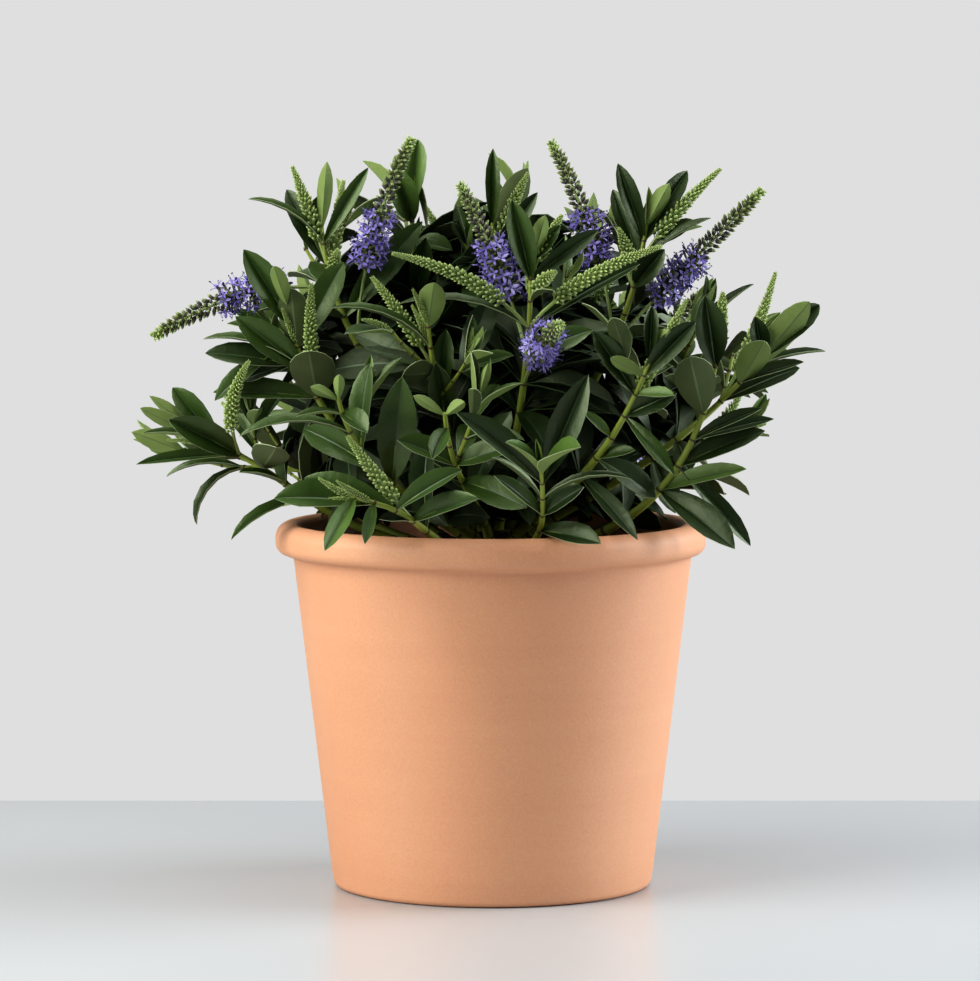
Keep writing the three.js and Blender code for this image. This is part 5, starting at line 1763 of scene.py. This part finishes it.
def bough_points(mass):
    """A bough with its scars and its bark."""
    blank, line = BOUGH_BLANK, mass["line"]
    up = blank.points[:, 2]
    distance = up * mass["fork"] * line.length
    radius = BOUGH["root_radius"] + (BOUGH["tip_radius"] - BOUGH["root_radius"]) * up
    radius = radius * (1 + FOOT_SWELL["by"] * np.exp(-distance / FOOT_SWELL["reach"]))
    above = line.at(up * mass["fork"])[:, 2] - GREEN_FROM
    woody = np.clip((10 - above) / WOODY["fades_over"], WOODY["least"], 1)
    grain = np.column_stack((blank.points[:, :2], distance)) * BOUGH_GRAIN
    ridges = [noise.noise(Vector(place)) for place in grain]
    radius = radius + np.array(ridges) * BARK_RELIEF * woody + SCARS["swell"] * scar_at(distance)
    return along_line(blank.points, line, mass["across"], up * mass["fork"], radius)


def face_means(values, blank):
    """The mean over each face's points."""
    starts = np.concatenate(([0], np.cumsum(blank.sizes)[:-1]))
    return np.add.reduceat(values[blank.loops], starts) / blank.sizes


BOUGH_SKINS = ("bark", "joint", "green_wood")
heap = Heap(*BOUGH_SKINS)
for mass in MASSES:
    points = bough_points(mass)
    distance = face_means(BOUGH_BLANK.points[:, 2] * mass["fork"] * mass["line"].length, BOUGH_BLANK)
    is_green = face_means(points[:, 2], BOUGH_BLANK) > GREEN_FROM
    slots = np.where(is_green, BOUGH_SKINS.index("green_wood"), BOUGH_SKINS.index("bark"))
    slots = np.where(scar_at(distance) > 0.5, BOUGH_SKINS.index("joint"), slots)
    heap.add(points, BOUGH_BLANK, BOUGH_SKINS, slots)
finished("boughs", heap.mesh("boughs"), [f"bough_{mass['name']}" for mass in MASSES], 60)

# %% [markdown]
# ## Leafy stems
#
# The stems above the boughs are smooth and yellow-green, and each ends where its last leaf or raceme
# sits. At each leaf pair is a thin dark ring, a little wider than the stem. The stalks of the racemes
# are in the same heaps.

# %% Stems
RING = {"wider": 1.16, "height": 1.1}
STEM_OVER = 1.5
RING_BLANK = Blank(drum_blank(8, 1))
heaps = heap_by_side("green_wood", "joint", "bud_green")
for mass in MASSES:
    heap = heaps[SIDE_OF[mass["name"]]]
    for number, stem in enumerate(mass["stems"]):
        if (mass["name"], number) not in KEPT_STEMS:
            continue
        blank = STEM_BLANK if number == 0 else TWIG_BLANK
        end = min(STEM_ENDS[mass["name"], number] + STEM_OVER / stem["line"].length, 1)
        heap.add(tube_points(blank, stem["line"], stem["across"], stem["first"], end, stem["root_radius"],
                             stem["tip_radius"]), blank, ("green_wood",))
        for node in stem["nodes"][1:]:
            if node["share"] >= end:
                continue
            half = RING["height"] / 2 / stem["line"].length
            radius = node["radius"] * RING["wider"]
            heap.add(tube_points(RING_BLANK, stem["line"], stem["across"], node["share"] - half,
                                 node["share"] + half, radius, radius), RING_BLANK, ("joint",))
for spikes, sizes in ((SPIKES, SPIKE), (YOUNG, YOUNG_SPIKE)):
    for spike in spikes:
        line = spike_line(spike)
        heaps[SIDE_OF[spike["mass"]]].add(
            tube_points(TWIG_BLANK, line, spike_across(line), 0, 1, sizes["stalk_radius"],
                        sizes["stalk_radius"] * 0.5), TWIG_BLANK, ("bud_green",))
finish_heaps("stems", heaps, 50)

# %% [markdown]
# ## Buds and flowers
#
# A bud is a little ball drawn out to a blunt tip, and its topmost faces are paler: partly the bud's
# own colour and partly a painted highlight. A flower is a short tube with four narrow petals and two
# long stamens, which give a raceme in bloom its soft outline.
# Both are made once and upright, the flower in millimetres and the bud with a width and length of 1.

# %% Buds and flowers
BODY, TIP = range(2)
PETAL, TUBE, STAMEN, ANTHER = range(4)
FLOWER = {"tube": 7.8, "tube_radii": (0.45, 1.0), "petal": 3.9, "petal_widths": (0.8, 1.9, 0.9),
          "petal_thickness": 0.25, "cup": 1.8, "stamen": 5.4, "stamen_radii": (0.16, 0.12),
          "anther_radii": (0.45, 0.3)}
PETAL_ROWS = (0, 0.55, 1)


def bud_blank():
    """A bud of width 1 and length 1, standing on the origin."""
    bm = bmesh.new()
    bmesh.ops.create_icosphere(bm, subdivisions=1, radius=0.5)
    for vert in bm.verts:
        if vert.co.z > 0.1:
            vert.co.xy *= 0.82
            vert.co.z += 0.06
    bmesh.ops.translate(bm, verts=bm.verts, vec=(0, 0, 0.5))
    return bm


def join_into(bm, other):
    """Adds one bmesh to another."""
    mesh = bpy.data.meshes.new("joined")
    other.to_mesh(mesh)
    other.free()
    bm.from_mesh(mesh)
    bpy.data.meshes.remove(mesh)


def add_petal(bm, turn):
    """One petal, spreading from the mouth of the tube and cupped a little, turned about the tube."""
    petal = grid_on((-1, 1), PETAL_ROWS)
    for vert in petal.verts:
        share = vert.co.y
        wide = np.interp(share, PETAL_ROWS, FLOWER["petal_widths"]) / 2
        rise = FLOWER["tube"] + FLOWER["cup"] * (1 - (1 - share) ** 2) + 0.25 * abs(vert.co.x)
        vert.co = (vert.co.x * wide, 0.4 + FLOWER["petal"] * share, rise)
    made = bmesh.ops.extrude_face_region(petal, geom=list(petal.faces))["geom"]
    lower = [g for g in made if isinstance(g, bmesh.types.BMVert)]
    bmesh.ops.translate(petal, verts=lower, vec=(0, 0, -FLOWER["petal_thickness"]))
    bmesh.ops.recalc_face_normals(petal, faces=petal.faces)
    spin_about = Matrix.Rotation(math.radians(turn), 3, "Z")
    bmesh.ops.rotate(petal, verts=petal.verts, cent=(0, 0, 0), matrix=spin_about)
    for face in petal.faces:
        face.material_index = PETAL
    join_into(bm, petal)


def add_cone(bm, start, end, radii, sides, slot):
    """A thin cone between two points."""
    way = Vector(end) - Vector(start)
    part = bmesh.new()
    bmesh.ops.create_cone(part, cap_ends=True, segments=sides, radius1=radii[0], radius2=radii[1],
                          depth=way.length)
    turned = way.to_track_quat("Z", "Y").to_matrix()
    bmesh.ops.rotate(part, verts=part.verts, cent=(0, 0, 0), matrix=turned)
    bmesh.ops.translate(part, verts=part.verts, vec=(Vector(start) + Vector(end)) / 2)
    for face in part.faces:
        face.material_index = slot
    join_into(bm, part)


def flower_blank():
    """A flower on +Z, with its tube's foot at the origin."""
    bm = bmesh.new()
    add_cone(bm, (0, 0, 0), (0, 0, FLOWER["tube"] + 0.2), FLOWER["tube_radii"], 5, TUBE)
    for turn in (0, 90, 180, 270):
        add_petal(bm, turn)
    for way in (1, -1):
        top = Vector((1.6 * way, 1.0, FLOWER["tube"] + FLOWER["stamen"]))
        add_cone(bm, (0.3 * way, 0, FLOWER["tube"]), top, FLOWER["stamen_radii"], 3, STAMEN)
        ends = top - Vector((0.5, 0, 0)), top + Vector((0.5, 0, 0.3))
        add_cone(bm, *ends, FLOWER["anther_radii"], 4, ANTHER)
    return bm


def bud_slot(face):
    """The pale tip of a bud, partly its own colour and partly a painted highlight, or its body."""
    return TIP if face.calc_center_median().z > 0.8 else BODY


BUD_BLANK = Blank(bud_blank(), bud_slot)
BUD_STALK_BLANK = Blank(drum_blank(3, 1))
FLOWER_BLANK = Blank(flower_blank(), lambda face: face.material_index)
print("a bud has", len(BUD_BLANK.sizes), "faces, and a flower", len(FLOWER_BLANK.sizes))

# %% [markdown]
# Each bud leans up along its stalk, and each flower stands out almost square to it. How wide the
# raceme is at each share of its length is a short list, for green and young racemes and for those in
# bloom. The step from bud to bud follows that width, so that small buds near the tip stand closer
# together. Where the raceme is wide, a bud keeps its size and stands on a fine stalk.

# %% Racemes
WIDTHS = {"green": ((0.0, 0.22, 0.4, 0.6, 0.8, 1.0), (3.5, 5.0, 4.9, 4.2, 2.9, 1.3)),
          "bloom": ((0.0, 0.6, 0.78, 0.92, 1.0), (6.0, 6.6, 5.8, 4.6, 3.2)),
          "young": ((0.0, 0.2, 0.6, 1.0), (1.6, 2.3, 1.9, 0.8))}
BUD = {"width": 0.46, "widest": {"green": 2.2, "bloom": 2.6, "young": 1.5}, "step": 0.085,
       "least_step": 0.14, "longest": {"green": 3.4, "bloom": 4.8, "young": 2.2},
       "lean": {"green": 48, "bloom": 60, "young": 34}, "stalk": 0.3, "wider_steps_in_bloom": 1.15}
FLOWER_STEP = 0.62
FLOWER_LEAN = {"mean": 74, "spread": 34}
PETAL_SKINS = ("petal", "petal", "petal_deep", "petal_pale")
PLUM_TO, OLIVE_TO = 0.45, 0.84  # as shares of the way from the bloom to the tip
CALYX_SIZE = 0.62


def turned_about(line, across, share, turn):
    """A point of a raceme, its direction, and the way out at a turn about it."""
    along = line.along(share)
    side = square_to(across, along)
    return line.at(share), along, side * math.cos(turn) + np.cross(along, side) * math.sin(turn)


def placed(blank, origin, out, up, width, length):
    """A blank's points with its +Z along a direction, at a width and a length."""
    side = unit(np.cross(up, out))
    front = np.cross(out, side)
    level = (blank.points[:, :1] * side + blank.points[:, 1:2] * front) * width
    return origin + level + blank.points[:, 2:] * out * length


def bud_skins(kind, share, bloom):
    """The skins of a bud's body and tip, from the place of the bud."""
    # Each bud's tip is paler: partly its own colour and partly a painted highlight.
    if kind != "bloom":
        return "bud_green", "bud_tip"
    past = (share - bloom[1]) / (1 - bloom[1])
    if past < PLUM_TO:
        return "bud_plum", "bud_green"
    return ("bud_olive", "bud_green") if past < OLIVE_TO else ("bud_green", "bud_tip")


def add_buds(spike, kind, first, last, heap, random, size=1):
    """Buds between two shares of the raceme's length."""
    line = spike_line(spike)
    across, share, turn = spike_across(line), first, math.tau * random()
    while share < last:
        width = np.interp(share, *WIDTHS[kind]) * size
        origin, along, out = turned_about(line, across, share, turn)
        lean = math.radians(BUD["lean"][kind]) * (0.88 + 0.24 * random())
        way = along * math.cos(lean) + out * math.sin(lean)
        long = width / math.sin(lean) * (0.86 + 0.12 * random())
        thick = min(width * BUD["width"], BUD["widest"][kind])
        bead = min(long, BUD["longest"][kind])
        points = placed(BUD_BLANK, origin + way * (long - bead), way, out, thick, bead)
        heap.add(points, BUD_BLANK, bud_skins(kind, share, spike["bloom"]))
        if long > bead:
            stalk = placed(BUD_STALK_BLANK, origin, way, out, BUD["stalk"], long - bead * 0.9)
            heap.add(stalk, BUD_STALK_BLANK, ("bud_green",))
        step = BUD["step"] * width * (BUD["wider_steps_in_bloom"] if kind == "bloom" else 1)
        share += max(step, BUD["least_step"]) / line.length
        turn += GOLDEN_ANGLE


def add_flowers(spike, heap, random):
    """Flowers over the part of the raceme that is in bloom."""
    line = spike_line(spike)
    across, share, turn = spike_across(line), spike["bloom"][0], math.tau * random()
    while share < spike["bloom"][1]:
        origin, along, out = turned_about(line, across, share, turn)
        lean = math.radians(FLOWER_LEAN["mean"] + FLOWER_LEAN["spread"] * (random() - 0.5))
        way = along * math.cos(lean) + out * math.sin(lean)
        size = 0.86 + 0.3 * (random() - 0.5)
        petal = PETAL_SKINS[int(random() * len(PETAL_SKINS))]
        points = placed(FLOWER_BLANK, origin + out * 0.8, way, along, size, size)
        heap.add(points, FLOWER_BLANK, (petal, "bud_olive", "stamen", "anther"))
        share += FLOWER_STEP / line.length
        turn += GOLDEN_ANGLE


bud_heaps = heap_by_side("bud_tip", "bud_green", "bud_olive", "bud_plum")
flower_heaps = heap_by_side("petal", "petal_deep", "petal_pale", "bud_olive", "stamen", "anther")
for index, spike in enumerate(SPIKES + YOUNG):
    random = seeded(SEED + 2000 + index)
    side = SIDE_OF[spike["mass"]]
    buds = bud_heaps[side]
    if index >= len(SPIKES):
        add_buds(spike, "young", YOUNG_SPIKE["bud_start"], 1, buds, random)
    elif spike["bloom"] is None:
        add_buds(spike, "green", SPIKE["bud_start"], 1, buds, random)
    else:
        add_flowers(spike, flower_heaps[side], random)
        add_buds(spike, "bloom", *spike["bloom"], buds, random, CALYX_SIZE)
        add_buds(spike, "bloom", spike["bloom"][1], 1, buds, random)
finish_heaps("buds", bud_heaps, 50)
finish_heaps("flowers", flower_heaps, 50)

# %% [markdown]
# ## Table
#
# The pot stands on a pale table with a satin surface, which mirrors it faintly. The table's far edge
# is the horizon of the picture, so its place matters: it lies a third of a metre behind the pot.

# %% Table
TABLE = {"back": 0.333, "front": -1.3, "half_width": 0.85, "thickness": 0.03, "round": 0.004,
         "below_pot": 0.0002}


def table_finish():
    """Pale grey satin laminate."""
    return skin("table_top", (0.485, 0.503, 0.520), (0.504, 0.520, 0.534), (0.27, 0.32), patch=3,
                grain=400, relief=0.04, depth=0.0002, specular=1.0)


def table_top():
    """A flat board with rounded edges, whose top is just under height 0."""
    bm = bmesh.new()
    bmesh.ops.create_cube(bm, size=1)
    size = (2 * TABLE["half_width"], TABLE["back"] - TABLE["front"], TABLE["thickness"])
    bmesh.ops.scale(bm, verts=bm.verts, vec=size)
    middle = (0, (TABLE["back"] + TABLE["front"]) / 2, -TABLE["thickness"] / 2 - TABLE["below_pot"])
    bmesh.ops.translate(bm, verts=bm.verts, vec=middle)
    bmesh.ops.bevel(bm, geom=list(bm.edges), offset=TABLE["round"], segments=4, profile=0.5, affect="EDGES",
                    material=-1)
    mesh = bpy.data.meshes.new("table_top")
    bm.to_mesh(mesh)
    bm.free()
    mesh.materials.append(table_finish())
    mesh.polygons.foreach_set("use_smooth", np.ones(len(mesh.polygons), bool))
    mesh.set_sharp_from_angle(angle=math.radians(40))
    return mesh


table = bpy.data.objects.new("table_top", table_top())
bpy.context.scene.collection.objects.link(table)
table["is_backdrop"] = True
print("table:", [round(v, 3) for v in table.dimensions])

# %% [markdown]
# ## Measure
#
# The box of the finished plant should be that of the frame, give or take a leaf tip.


dressed_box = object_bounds()
for name, box in (("frame", cad_box), ("dressed", dressed_box)):
    print(name, "box in mm:", [[round(v / MM, 1) for v in corner] for corner in box])
